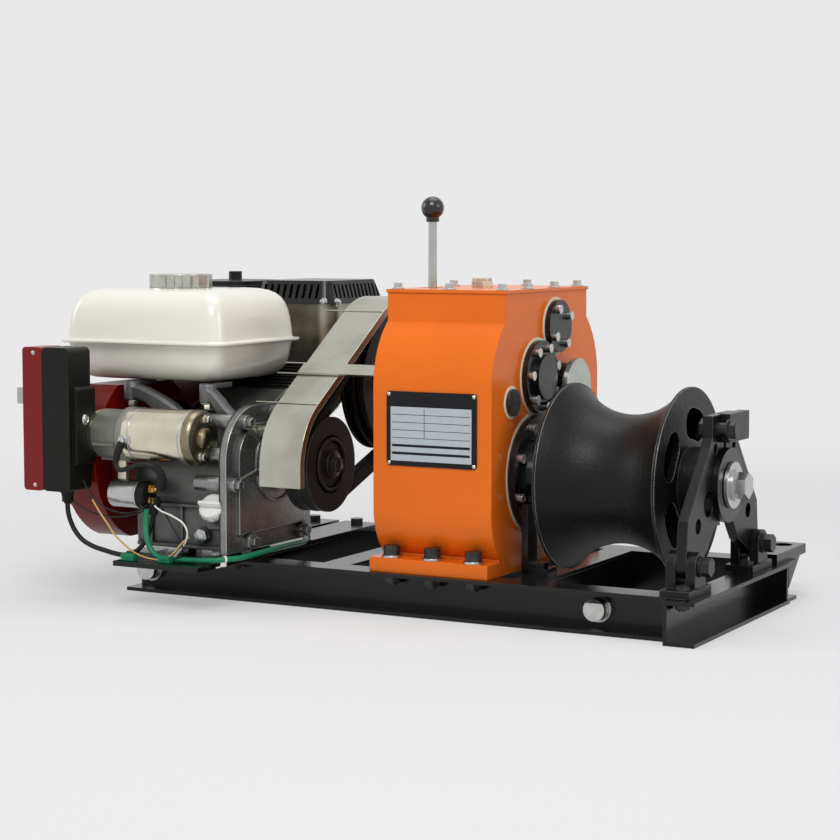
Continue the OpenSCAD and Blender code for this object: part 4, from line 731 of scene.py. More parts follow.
def corners(node: str) -> tuple[Vector, Vector]:
    """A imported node's lowest and highest corner, in millimetres."""
    low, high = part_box(node)
    return low / MM, high / MM


def basis(at: Point, along: Heading, turn: float = 0.0) -> Matrix:
    """A place in millimetres whose Z runs along a direction, turned about it by degrees."""
    aim = heading(along).to_track_quat("Z", "X").to_matrix().to_4x4()
    return Matrix.Translation(Vector(at)) @ aim @ Matrix.Rotation(math.radians(turn), 4, "Z")


def around(angle: float, radius: float = 1.0) -> tuple[float, float]:
    """The point of a circle about the origin at an angle in degrees."""
    return radius * math.cos(math.radians(angle)), radius * math.sin(math.radians(angle))


def arc(centre: Point, radius: float, start: float, end: float, steps: int) -> list[Point]:
    """Puts points round an arc.

    Args:
        centre: The arc's centre.
        radius: Its radius.
        start: The angle of the first point in degrees.
        end: The angle of the last point in degrees.
        steps: How many pieces the arc is cut into.

    Returns:
        The points, one more than the steps.
    """
    turns = (around(start + (end - start) * step / steps, radius) for step in range(steps + 1))
    return [(centre[0] + across, centre[1] + up) for across, up in turns]


def round_box(width: float, height: float, radius: float, steps: int = 8) -> list[Point]:
    """Draws a rectangle about the origin with round corners.

    Args:
        width: Its whole width.
        height: Its whole height.
        radius: The corners' radius.
        steps: How many pieces each corner is cut into.

    Returns:
        The outline's points.
    """
    across, up = width / 2 - radius, height / 2 - radius
    outline: list[Point] = []
    for quarter, (side, end) in enumerate(((1, 1), (-1, 1), (-1, -1), (1, -1))):
        outline += arc((side * across, end * up), radius, 90 * quarter, 90 * quarter + 90, steps)
    return outline


def ring(inner: float, outer: float, foot: float, top: float) -> Profile:
    """The closed profile of a ring with square edges."""
    return [(inner, foot), (outer, foot), (outer, top), (inner, top), (inner, foot)]


def smooth_path(points: Route, steps: int = 6) -> list[Vector]:
    """Runs one smooth line through points.

    Args:
        points: The points that it passes.
        steps: How many pieces it has between each two.

    Returns:
        The line's points.
    """
    held = [Vector(point) for point in points]
    ends = [2 * held[0] - held[1], *held, 2 * held[-1] - held[-2]]
    line: list[Vector] = []
    for before, start, end, after in zip(ends, ends[1:], ends[2:], ends[3:]):
        for step in range(steps):
            share = step / steps
            line.append(0.5 * (
                2 * start + (end - before) * share
                + (2 * before - 5 * start + 4 * end - after) * share ** 2
                + (3 * start - before - 3 * end + after) * share ** 3
            ))
    return [*line, held[-1]]


class Form:
    """One piece's closed mesh, put together from turned, cut and swept solids."""

    def __init__(self, name: str) -> None:
        """Starts an empty mesh.

        Args:
            name: The piece's name.
        """
        self.name = name
        self.mesh = bmesh.new()

    def _skin(self, rings: Sequence[Sequence[Vector]], looped: bool = False) -> "Form":
        """Joins rings into a closed skin.

        Args:
            rings: Rings of equal length, in millimetres.
            looped: Whether the last ring joins the first one, in place of two caps.

        Returns:
            The form.
        """
        made = [[self.mesh.verts.new(point * MM) for point in row] for row in rings]
        pairs = list(zip(made, made[1:]))
        if looped:
            pairs.append((made[-1], made[0]))
        for lower, upper in pairs:
            for index in range(len(lower)):
                after = (index + 1) % len(lower)
                self.mesh.faces.new((lower[index], lower[after], upper[after], upper[index]))
        if not looped:
            self.mesh.faces.new(list(reversed(made[0])))
            self.mesh.faces.new(made[-1])
        return self

    def lofted(self, rings: Sequence[Route]) -> "Form":
        """Adds a skin over rings of equal length, closed at both ends."""
        return self._skin([[Vector(point) for point in row] for row in rings])

    def turned(self, profile: Profile, at: Point, along: Heading, sides: int = 48) -> "Form":
        """Adds a solid of revolution.

        Args:
            profile: (radius, height) from the bottom up; a ring closes on its first point.
            at: The foot's centre in millimetres.
            along: The axis.
            sides: Faces round it.

        Returns:
            The form.
        """
        place = basis(at, along)
        looped = profile[0] == profile[-1]
        return self._skin([
            [place @ Vector((*around(360 * side / sides, radius), height))
             for side in range(sides)]
            for radius, height in (profile[:-1] if looped else profile)
        ], looped)

    def prism(
        self, outline: Route, at: Point, along: Heading, depth: float, edge: float,
        turn: float = 0.0,
    ) -> "Form":
        """Adds a flat outline raised by a depth, with its top edge broken.

        Args:
            outline: Points across the foot, in millimetres.
            at: The outline's origin.
            along: The direction that it is raised in.
            depth: How far it is raised.
            edge: The width of the broken edge.
            turn: Degrees about the direction.

        Returns:
            The form.
        """
        place = basis(at, along, turn)
        middle = [sum(values) / len(outline) for values in zip(*outline)]
        reach = max(math.dist(point, middle) for point in outline)
        levels = ((1.0, 0.0), (1.0, depth - edge), (1 - 0.3 * edge / reach, depth - edge * 0.3),
                  (1 - edge / reach, depth))
        return self._skin([
            [place @ Vector((middle[0] + (x - middle[0]) * scale,
                             middle[1] + (y - middle[1]) * scale, height)) for x, y in outline]
            for scale, height in levels
        ])

    def hexagon(self, at: Point, along: Heading, flats: float, high: float, turn: float = 0.0
                ) -> "Form":
        """Adds a hexagon head or nut with a chamfered top.

        Args:
            at: The foot's centre in millimetres.
            along: The axis.
            flats: Its size across the flats.
            high: Its height.
            turn: Degrees about the axis.

        Returns:
            The form.
        """
        outline = arc((0, 0), flats / math.sqrt(3), 0, 300, 5)
        return self.prism(outline, at, along, high, high * 0.22, turn)

    def bolt(self, at: Point, along: Heading, flats: float, turn: float = 0.0) -> "Form":
        """Adds a hexagon head on its washer.

        Args:
            at: The washer's centre in millimetres.
            along: The axis.
            flats: The head's size across the flats.
            turn: Degrees about the axis.

        Returns:
            The form.
        """
        thick, wide = flats * 0.14, flats * 0.76
        self.turned([(wide, 0), (wide, thick * 0.7), (flats * 0.72, thick)], at, along, 32)
        top = Vector(at) + heading(along) * thick
        return self.hexagon(top, along, flats, flats * 0.6, turn)

    def tube(self, line: Route, radius: float, sides: int = 12,
             swell: Sequence[float] | None = None) -> "Form":
        """Adds a round bar, bead or cable along a line.

        Args:
            line: The centre line in millimetres.
            radius: Half its thickness.
            sides: Faces round it.
            swell: A factor on the radius at each point of the line.

        Returns:
            The form.
        """
        path = [Vector(point) for point in line]
        side = (path[1] - path[0]).orthogonal().normalized()
        rings = []
        for index, point in enumerate(path):
            ahead = (path[min(index + 1, len(path) - 1)] - path[max(index - 1, 0)]).normalized()
            side = (side - ahead * side.dot(ahead)).normalized()
            up = ahead.cross(side)
            wide = radius * (swell[index] if swell else 1.0)
            turns = (around(360 * turn / sides) for turn in range(sides))
            rings.append([point + wide * (side * across + up * high) for across, high in turns])
        return self._skin(rings)

    def bead(self, start: Point, end: Point, radius: float) -> "Form":
        """Adds a straight weld bead with ripples.

        Args:
            start: One end in millimetres.
            end: The other end.
            radius: Half its thickness.

        Returns:
            The form.
        """
        first, last = Vector(start), Vector(end)
        count = max(2, int((last - first).length / (radius * 0.45)))
        line = [*(first.lerp(last, step / count) for step in range(count)), last]
        swell = [
            (0.86 + 0.14 * math.sin(index * 2.1)) * min(1.0, 0.45 + 0.3 * min(index, count - index))
            for index in range(count + 1)
        ]
        return self.tube(line, radius, 8, swell)

    def block(self, low: Point, high: Point) -> "Form":
        """Adds a box.

        Args:
            low: Its lowest corner in millimetres.
            high: Its highest corner.

        Returns:
            The form.
        """
        outline = ((low[0], low[1]), (high[0], low[1]), (high[0], high[1]), (low[0], high[1]))
        return self.lofted([[(x, y, z) for x, y in outline] for z in (low[2], high[2])])

    def rib(self, start: Point, end: Point, along: Heading, wide: float, high: float) -> "Form":
        """Adds a straight rib with a narrower top.

        Args:
            start: The middle of its foot at one end.
            end: The middle of its foot at the other end.
            along: The direction that it stands out in.
            wide: Its width at the foot.
            high: How far it stands out.

        Returns:
            The form.
        """
        first, last, out = Vector(start), Vector(end), heading(along)
        across = (last - first).normalized().cross(out) * wide / 2
        return self.lofted([
            [first - across * share + out * level, last - across * share + out * level,
             last + across * share + out * level, first + across * share + out * level]
            for share, level in ((1.0, -1.0), (1.0, 0.0), (0.6, high))
        ])

    def build(self, finish: Finish, body: str = "sled", smooth: float = 35.0, edge: float = 0.0
              ) -> bpy.types.Object:
        """Makes the object, dresses it and rides it on a body.

        Args:
            finish: What it is finished in.
            body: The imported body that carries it.
            smooth: Edges sharper than this many degrees stay sharp.
            edge: A round edge of this many millimetres, or 0 for none.

        Returns:
            The finished object.
        """
        bmesh.ops.recalc_face_normals(self.mesh, faces=self.mesh.faces)
        data = bpy.data.meshes.new(self.name)
        self.mesh.to_mesh(data)
        self.mesh.free()
        data.shade_smooth()
        data.set_sharp_from_angle(angle=math.radians(smooth))
        piece = add_object(self.name, data)
        if edge:
            rounding = piece.modifiers.new("edge", "BEVEL")
            rounding.width = edge * MM
            rounding.segments = 2
            rounding.limit_method = "ANGLE"
            rounding.angle_limit = math.radians(smooth)
            rounding.harden_normals = True
        data.materials.append(finish.material())
        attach(piece, body)
        LOG.info("%s rides on %s", self.name, body)
        return piece


@dataclass
class Studio:
    """Camera, lamps, floor and sky, in metres."""

    azimuth: float = 28.2
    elevation: float = 5.1
    camera: Point = (1.0660, -2.3688, 0.4566)
    lens: float = 92.2
    sensor: float = 36.0
    pale: Colour = linear(233, 233, 233)
    sky: float = 0.5
    reach: float = 30.0
    paper: float = 0.9
    fade: tuple[float, float] = (0.75, 2.2)
    aim: Point = (-0.15, 0.0, 0.2)
    lamps: tuple[tuple[str, Point, float, float], ...] = (
        ("key_lamp", (0.5, -2.3, 2.7), 1.6, 55.0),
        ("left_lamp", (-2.9, -1.0, 1.4), 1.4, 15.0),
        ("right_lamp", (2.9, -0.2, 1.5), 1.4, 18.0),
        ("top_lamp", (-0.2, 0.4, 2.8), 2.0, 25.0),
    )

    def build(self) -> None:
        """Makes the whole studio."""
        self._camera()
        self._world()
        self._floor()
        for name, at, size, watts in self.lamps:
            self._lamp(name, at, size, watts)
        bpy.context.scene.view_settings.view_transform = "Standard"

    def _camera(self) -> None:
        """Sets the camera at the photograph's place and angle."""
        turn, tilt = math.radians(self.azimuth), math.radians(self.elevation)
        data = bpy.data.cameras.new("camera")
        data.lens, data.sensor_width = self.lens, self.sensor
        camera = add_object("camera", data)
        look(camera, self.camera, Vector((-math.sin(turn) * math.cos(tilt),
                                          math.cos(turn) * math.cos(tilt), -math.sin(tilt))))
        bpy.context.scene.camera = camera

    @staticmethod
    def _seen(graph: Graph) -> Signal:
        """Tells what the camera sees from what only lights the winch.

        Args:
            graph: The helper of the tree that asks.

        Returns:
            1 for what is seen straight, in a mirror or through glass, and 0 for lighting.
        """
        rays = graph.node("ShaderNodeLightPath")
        straight, mirrored, through = (
            Signal(graph, rays.outputs[name])
            for name in ("Is Camera Ray", "Is Glossy Ray", "Is Transmission Ray")
        )
        return straight.most(mirrored).most(through)

    def _world(self) -> None:
        """Makes a pale sky, which lights the winch less than it shows."""
        world = bpy.data.worlds.new("sky")
        bpy.context.scene.world = world
        world.use_nodes = True
        graph = Graph(world.node_tree)
        lit, shown = (
            graph.value(0, "ShaderNodeBackground", inputs={"Color": self.pale, "Strength": power})
            for power in (self.sky, 1.0)
        )
        graph.end(graph.blend(self._seen(graph), lit, shown), "ShaderNodeOutputWorld")

    def _floor(self) -> None:
        """Lays a pale floor that keeps the winch's shadow near it and fades into the sky."""
        data = bpy.data.meshes.new("floor")
        sheet = [(side * self.reach, end * self.reach, 0)
                 for side, end in ((-1, -1), (1, -1), (1, 1), (-1, 1))]
        data.from_pydata(sheet, [], [(0, 1, 2, 3)])
        material, graph = new_graph("floor_paper")
        data.materials.append(material)
        far = graph.vector("LENGTH", graph.place()).spread(*self.fade)
        paper = tuple(channel * self.paper for channel in self.pale)
        plain = graph.value(0, "ShaderNodeBsdfDiffuse", inputs={"Color": paper})
        glow = graph.value(0, "ShaderNodeEmission", inputs={"Color": self.pale, "Strength": 1.0})
        graph.end(graph.blend(self._seen(graph) * (far * 0.55 + 0.45), plain, glow))
        add_object("floor", data)

    def _lamp(self, name: str, at: Point, size: float, watts: float) -> None:
        """Hangs a square soft lamp that looks at the winch's middle.

        Args:
            name: The lamp's name.
            at: Its place.
            size: Its width.
            watts: Its power.
        """
        data = bpy.data.lights.new(name, "AREA")
        data.shape = "SQUARE"
        data.size, data.energy = size, watts
        look(add_object(name, data), at, Vector(self.aim) - Vector(at))


def run_cord(
    name: str, route: Route, radius: float, finish: Finish,
    nodes: Sequence[str] = (),
) -> None:
    """Args:
        name: The lead's name.
        route: The points that its middle passes, in millimetres.
        radius: Half its thickness.
        finish: What it is finished in.
        nodes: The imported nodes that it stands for.
    """
    line = smooth_path(route, 4)
    piece = Form(name).tube(line, radius, 14).build(finish, smooth=60.0)
    path = [tuple(point * MM) for point in line]
    length = sum((after - before).length for before, after in zip(line, line[1:])) * MM
    if nodes:
        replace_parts(piece, *nodes)


@dataclass
class Wiring:
    """The battery leads along the bearer, the starter's lead and the engine's thin wires."""

    lead_radius: float = 3.0
    earth_radius: float = 3.4
    starter_radius: float = 3.1
    wire_radius: float = 1.1
    lead: Route = (
        (-556.5, -259.5, 121.7), (-556, -260, 112), (-553, -260, 100), (-546, -259, 86),
        (-536, -257, 75), (-522, -255, 68), (-507, -253, 64), (-492, -250, 60.4),
        (-480, -247, 59.4), (-467, -242, 64), (-458, -236, 76), (-452, -233, 92),
        (-449, -231, 108), (-448, -231, 116),
    )
    earth: Route = (
        (-452, -240, 116), (-452, -242, 104), (-450, -245, 92), (-446, -248, 80),
        (-440, -250, 70), (-430, -251, 61.8), (-416, -251, 59.8), (-400, -250, 59.7),
        (-384, -248, 59.8), (-368, -247, 60), (-352, -244, 61.2), (-341, -238, 62.4),
        (-331, -220, 62.6), (-326, -196, 64.2), (-325, -160, 65), (-328, -120, 64.4),
        (-334, -78, 62.2), (-344, -50, 60.2), (-355, -29, 59.5),
    )
    starter: Route = (
        (-472, 0, 199), (-476, -3, 188), (-479, -4, 175), (-474, -4, 166), (-462, -2, 168),
        (-447, 1, 173), (-433, 5, 172), (-424, 9, 165), (-424, 14, 154), (-430, 20, 145),
    )
    starter_gap: float = 2.0
    thin: tuple[tuple[str, Finish, Route], ...] = (
        ("fan_wire_upper", Stock.CABLE, (
            (-549, -262, 124), (-540, -260, 119), (-526, -257, 111), (-508, -254, 107),
            (-490, -252, 106), (-474, -249, 108), (-460, -245, 112), (-452, -240, 118))),
        ("fan_wire_lower", Stock.CABLE, (
            (-537, -255, 150), (-528, -256, 138), (-518, -255, 126), (-505, -253, 117),
            (-490, -250, 112), (-474, -246, 111), (-460, -242, 116), (-453, -237, 121))),
        ("sensor_wire_tan", Stock.TAN_WIRE, (
            (-520, -258, 126), (-508, -260, 112), (-496, -261, 99), (-484, -262, 85.5),
            (-469, -262, 74), (-453, -262, 65), (-434, -261, 60), (-416, -259, 60),
            (-402, -257, 68), (-392, -254, 80), (-384, -250, 88))),
        ("sensor_wire_white", Stock.WHITE_WIRE, (
            (-436, -246, 122), (-424, -250, 117), (-410, -253, 114), (-398, -255, 110),
            (-389, -255, 105), (-384, -254, 96), (-386, -252, 86), (-394, -251, 74),
            (-404, -252, 63))),
        ("coil_wire", Stock.CABLE, (
            (-428, -244, 122), (-418, -248, 112), (-408, -251, 100), (-398, -252, 88),
            (-392, -252, 76), (-394, -252, 65), (-404, -253, 60))),
    )
    boot: Profile = ((3.4, -8), (5.4, -7), (5.8, 2), (7.4, 4), (7.6, 12), (5.5, 15))
    boot_lean: Point = (0.1, 0.05, 1)
    tie: Route = ((-341, -238, 62.4), (-331.5, -221, 62.6))
    tie_lock: Route = ((-343.5, -243.6, 54.2), (-337.8, -238.6, 59.2))
    tie_tail: Route = ((-341, -242, 56.6), (-345, -243, 53.6), (-350, -243.5, 52.6))
    lug: Point = (-363, -14, 56.1)
    lug_bolt: Point = (-363, -14, 57.4)
    crimp: Route = ((-354.5, -30, 59.5), (-357.5, -24, 58.7), (-360.5, -19, 57.4))
    plugs: tuple[tuple[str, Point, Point], ...] = (
        ("connector_left", (-470, -270, 56.3), (-452, -258, 65)),
        ("connector_right", (-420, -264, 56.3), (-404, -255, 64)),
    )
    plug_ribs: int = 4

    def build(self) -> None:
        """Makes every lead, its ends and its tie."""
        ends = self._lead_ends()
        run_cord("battery_lead", self.lead, self.lead_radius, Stock.CABLE,
                 ("battery_cable",))
        run_cord("earth_lead", self.earth, self.earth_radius, Stock.GREEN,
                 ("green_cable",))
        for name, finish, route in self.thin:
            run_cord(name, route, self.wire_radius, finish)
        self._starter_lead()
        for name, low, high in self.plugs:
            self._plug(name, low, high)

    def _lead_ends(self) -> list[bpy.types.Object]:
        """Makes what is on the two leads.

        Returns:
            The boot on the black lead, then the tie and the ring on the green one.
        """
        boot = Form("battery_boot").turned(self.boot, self.lead[-1], Vector(self.boot_lean), 24)
        at, after = (Vector(point) for point in self.tie)
        tie = Form("cable_tie").turned(ring(3.5, 4.5, -1.4, 1.4), at, after - at, 28)
        tie.block(*self.tie_lock).tube(self.tie_tail, 0.9, 8)
        lug = Form("earth_lug").turned(ring(3.2, 7, 0, 1.4), self.lug, Axis.UP, 32)
        lug.tube(self.crimp, 3.9, 14).hexagon(self.lug_bolt, Axis.UP, 10, 5.5, 12)
        return [boot.build(Stock.RUBBER), tie.build(Stock.WHITE_PLASTIC, edge=0.4),
                lug.build(Stock.ZINC, edge=0.4)]

    def _starter_lead(self) -> None:
        """Makes the booted lead that loops from the starter's terminal to the solenoid's."""
        low, _ = corners("starter_motor")
        front = low.y - self.starter_gap
        route = [(x, front + y, z) for x, y, z in self.starter]
        boots = Form("starter_boots")
        for part, first, more in ((route[-4:], 1.25, 0.9), (route[:3], 1.7, -0.5)):
            line = smooth_path(part, 4)
            last = len(line) - 1
            boots.tube(line, self.starter_radius, 16,
                       [first + more * index / last for index in range(last + 1)])
        piece = boots.build(Stock.RUBBER, smooth=60.0)
        run_cord("starter_lead", route, self.starter_radius, Stock.CABLE)

    def _plug(self, name: str, low: Point, high: Point) -> None:
        """Makes a green plug that lies on the bearer's front strip.

        Args:
            name: The piece's name.
            low: Its lowest corner.
            high: Its highest corner.
        """
        plug = Form(name).block(low, high)
        step = (high[0] - low[0]) / (self.plug_ribs + 1)
        for index in range(1, self.plug_ribs + 1):
            middle = low[0] + index * step
            plug.block((middle - 0.7, low[1] - 0.8, low[2] + 1.5),
                       (middle + 0.7, low[1] + 1, high[2] - 1.5))
        plug.build(Stock.GREEN, edge=0.5)


@dataclass
class FuelTank:
    """The pressed fuel tank, in place of its plain solid."""

    corner: float = 26.0
    flange: float = 8.0
    neck: float = 24.0
    neck_wall: float = 3.0
    neck_deep: float = 14.0
    profile: Profile = (
        (48, 267), (39, 267.2), (31, 268.6), (24.5, 271.5), (19, 276.5), (15, 283), (12.6, 291),
        (11.2, 300), (10, 308), (9, 312), (7, 313), (1.2, 313), (0.1, 314), (0.1, 316),
        (1.2, 317), (7, 317), (8.8, 318.5), (9.6, 328), (11, 342), (13, 353), (15.6, 361.5),
        (19.5, 368.5), (25, 374), (32, 377.8), (41, 380), (54, 381),
    )

    def build(self) -> None:
        """Lofts the shells and their seam flange, and turns the filler neck."""
        low, high = corners("fuel_tank")
        middle = (low + high) / 2
        rings = []
        for inset, height in self.profile:
            radius = self.corner - min(inset, self.flange) - 0.12 * max(0.0, inset - self.flange)
            outline = round_box(high.x - low.x - 2 * inset, high.y - low.y - 2 * inset, radius, 10)
            rings.append([(middle.x + x, middle.y + y, height) for x, y in outline])
        tank = Form("pressed_tank").lofted(rings).turned(
            ring(self.neck - self.neck_wall, self.neck, -self.neck_deep, 0),
            (middle.x, middle.y, high.z), Axis.UP, 64)
        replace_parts(tank.build(Stock.CREAM, smooth=32.0), "fuel_tank")


@dataclass
class GearboxDetail:
    """What is fixed or painted on the gearbox casing."""

    ring_wide: float = 3.5
    ring_high: float = 0.5
    ring_step: float = 0.15
    caps: tuple[Point, ...] = ((-29.1, 278.5, 44.0), (-100.1, 252.5, 16.0), (22.0, 337.6, 32.0))
    border: float = 6.0
    header: float = 18.0
    rules: int = 7
    column: float = 0.42
    fillet: float = 2.6
    fillet_place: tuple[float, float] = (127.0, 67.6)
    rivet: Profile = ((2.4, 0), (2.4, 0.5), (1.68, 1.2), (0.48, 1.5))
    washer: Profile = ((10.2, 0.1), (12.3, 0.1), (12.3, 2.3), (11.9, 2.8), (10.2, 2.8),
                       (10.2, 0.1))
    bolts: tuple[float, ...] = (-161.5, -107.25, -53.0)
    bolt_rows: tuple[float, ...] = (-150.0, 150.0)
    foot: float = 67.0

    def build(self) -> None:
        """Makes the gasket rings, the plate's pieces, the foot's fillets and its washers."""
        low, high = corners("gearbox_housing")
        flange_low, flange_high = corners("output_flange")
        flange = (flange_low + flange_high) / 2
        places = ((flange.y, flange.z, (flange_high.z - flange_low.z) / 2), *self.caps)
        rings = Form("gasket_rings")
        for index, (y, z, radius) in enumerate(places):
            rings.turned(ring(radius - 2, radius + self.ring_wide, 0,
                              self.ring_high + self.ring_step * index),
                         (flange_low.x, y, z), Axis.RIGHT, 96)
        rings.build(Stock.GASKET)
        self._plate()
        fillets = Form("foot_fillets")
        across, up = self.fillet_place
        for y in (-across, across):
            fillets.tube([(low.x + 1, y, up), (high.x - 1, y, up)], self.fillet, 12)
        fillets.build(Stock.ORANGE)
        washers = Form("foot_washers")
        for x in self.bolts:
            for y in self.bolt_rows:
                washers.turned(self.washer, (x, y, self.foot), Axis.UP, 40)
        washers.build(Stock.ZINC)

    def _plate(self) -> None:
        """Makes the plate's ruled panel and its four rivets, with no lettering."""
        low, high = corners("rating_plate")
        front = low.y
        left, right = low.x + self.border, high.x - self.border
        foot, head = low.z + self.border, high.z - self.header
        Form("plate_panel").block((left, front - 0.25, foot), (right, front + 0.6, head)).build(
            Stock.PANEL, edge=0.15)
        lines = Form("plate_rules")
        step = (head - foot) / self.rules
        for index in range(1, self.rules):
            half = 0.3 if index > 2 else 1.5
            lines.block((left + 2, front - 0.4, foot + index * step - half),
                        (right - 2, front, foot + index * step + half))
        middle = left + (right - left) * self.column
        lines.block((middle - 0.3, front - 0.4, foot + 3 * step), (middle + 0.3, front, head - 2))
        lines.build(Stock.PLATE)
        rivets = Form("plate_rivets")
        for x in (low.x + 3.2, high.x - 3.2):
            for z in (low.z + 3.4, high.z - 3.4):
                rivets.turned(self.rivet, (x, front + 0.7, z), Axis.NEAR, 20)
        rivets.build(Stock.ZINC)


@dataclass
class FrameDetail:
    """Weld beads on the sled and its hinge brackets, and the engine's zinc spacers."""

    bead: float = 2.0
    plates: tuple[float, ...] = (-144.0, 64.0)
    plate_half: float = 34.0
    plate_foot: float = 50.4
    ear_half: float = 14.0
    ear_foot: float = 59.6
    spacers: tuple[tuple[float, ...], ...] = ((-447.0, -397.0), (-180.0, -70.0))
    spacer_foot: float = 56.1

    def build(self) -> None:
        """Makes the beads and the spacers."""
        rail_low, rail_high = corners("near_rail")
        top, end = rail_high.z, rail_high.x
        welds = Form("frame_welds")
        for near, far in ((rail_low.y, rail_high.y), (-rail_high.y, -rail_low.y)):
            welds.bead((end, near + 2, top), (end, far - 2, top), self.bead)
        welds.bead((end, rail_low.y + 6, 5.5), (end, rail_high.y - 1, 5.5), self.bead)
        low, high = corners("hinge_clevises")
        for middle in self.plates:
            for x in (low.x + 0.3, high.x - 0.3):
                welds.bead((x, middle - self.ear_half, self.ear_foot),
                           (x, middle + self.ear_half, self.ear_foot), self.bead * 0.9)
            for y in (middle - self.plate_half, middle + self.plate_half):
                welds.bead((low.x + 12, y, self.plate_foot), (high.x - 3, y, self.plate_foot),
                           self.bead * 0.8)
        welds.build(Stock.FRAME, smooth=60.0)
        spacers = Form("engine_spacers")
        for x in self.spacers[0]:
            for y in self.spacers[1]:
                spacers.hexagon((x, y, self.spacer_foot), Axis.UP, 25.0, 9.7)
        spacers.build(Stock.ZINC, edge=0.4)


@dataclass
class BeltDetail:
    """Weld beads on the belt guard, and the bolt and ring on the crank pulley."""

    bead: float = 1.1
    bead_end: float = -248.6
    beads: tuple[Point, ...] = ((-15.1, 352.4), (-127.8, 279.6), (-110.2, 291.2),
                                (-175.6, 247.6))
    bolt: float = 17.0
    washer: Profile = ((17, 0), (17, 2.4), (16, 3))
    rim: Profile = ((29, -0.5), (33, -0.5), (33, 1.6), (31, 2.4), (29, 1.6), (29, -0.5))

    def build(self) -> None:
        """Makes the beads, the bolt and the ring."""
        low, _ = corners("belt_guard")
        welds = Form("guard_welds")
        for y, z in self.beads:
            welds.bead((low.x + 3, y, z), (self.bead_end, y, z), self.bead)
        welds.build(Stock.SHEET, smooth=60.0)
        low, high = corners("crank_pulley")
        y, z = (low.y + high.y) / 2, (low.z + high.z) / 2
        bolt = Form("crank_bolt").turned(self.washer, (high.x + 2, y, z), Axis.RIGHT, 40)
        bolt.hexagon((high.x + 5, y, z), Axis.RIGHT, self.bolt, 7.5, 10)
        bolt.build(Stock.BOLT, "crank_line", edge=0.3)
        rim = Form("crank_pulley_ring").turned(self.rim, (high.x, y, z), Axis.RIGHT, 64)
        rim.build(Stock.PULLEY, "crank_line")


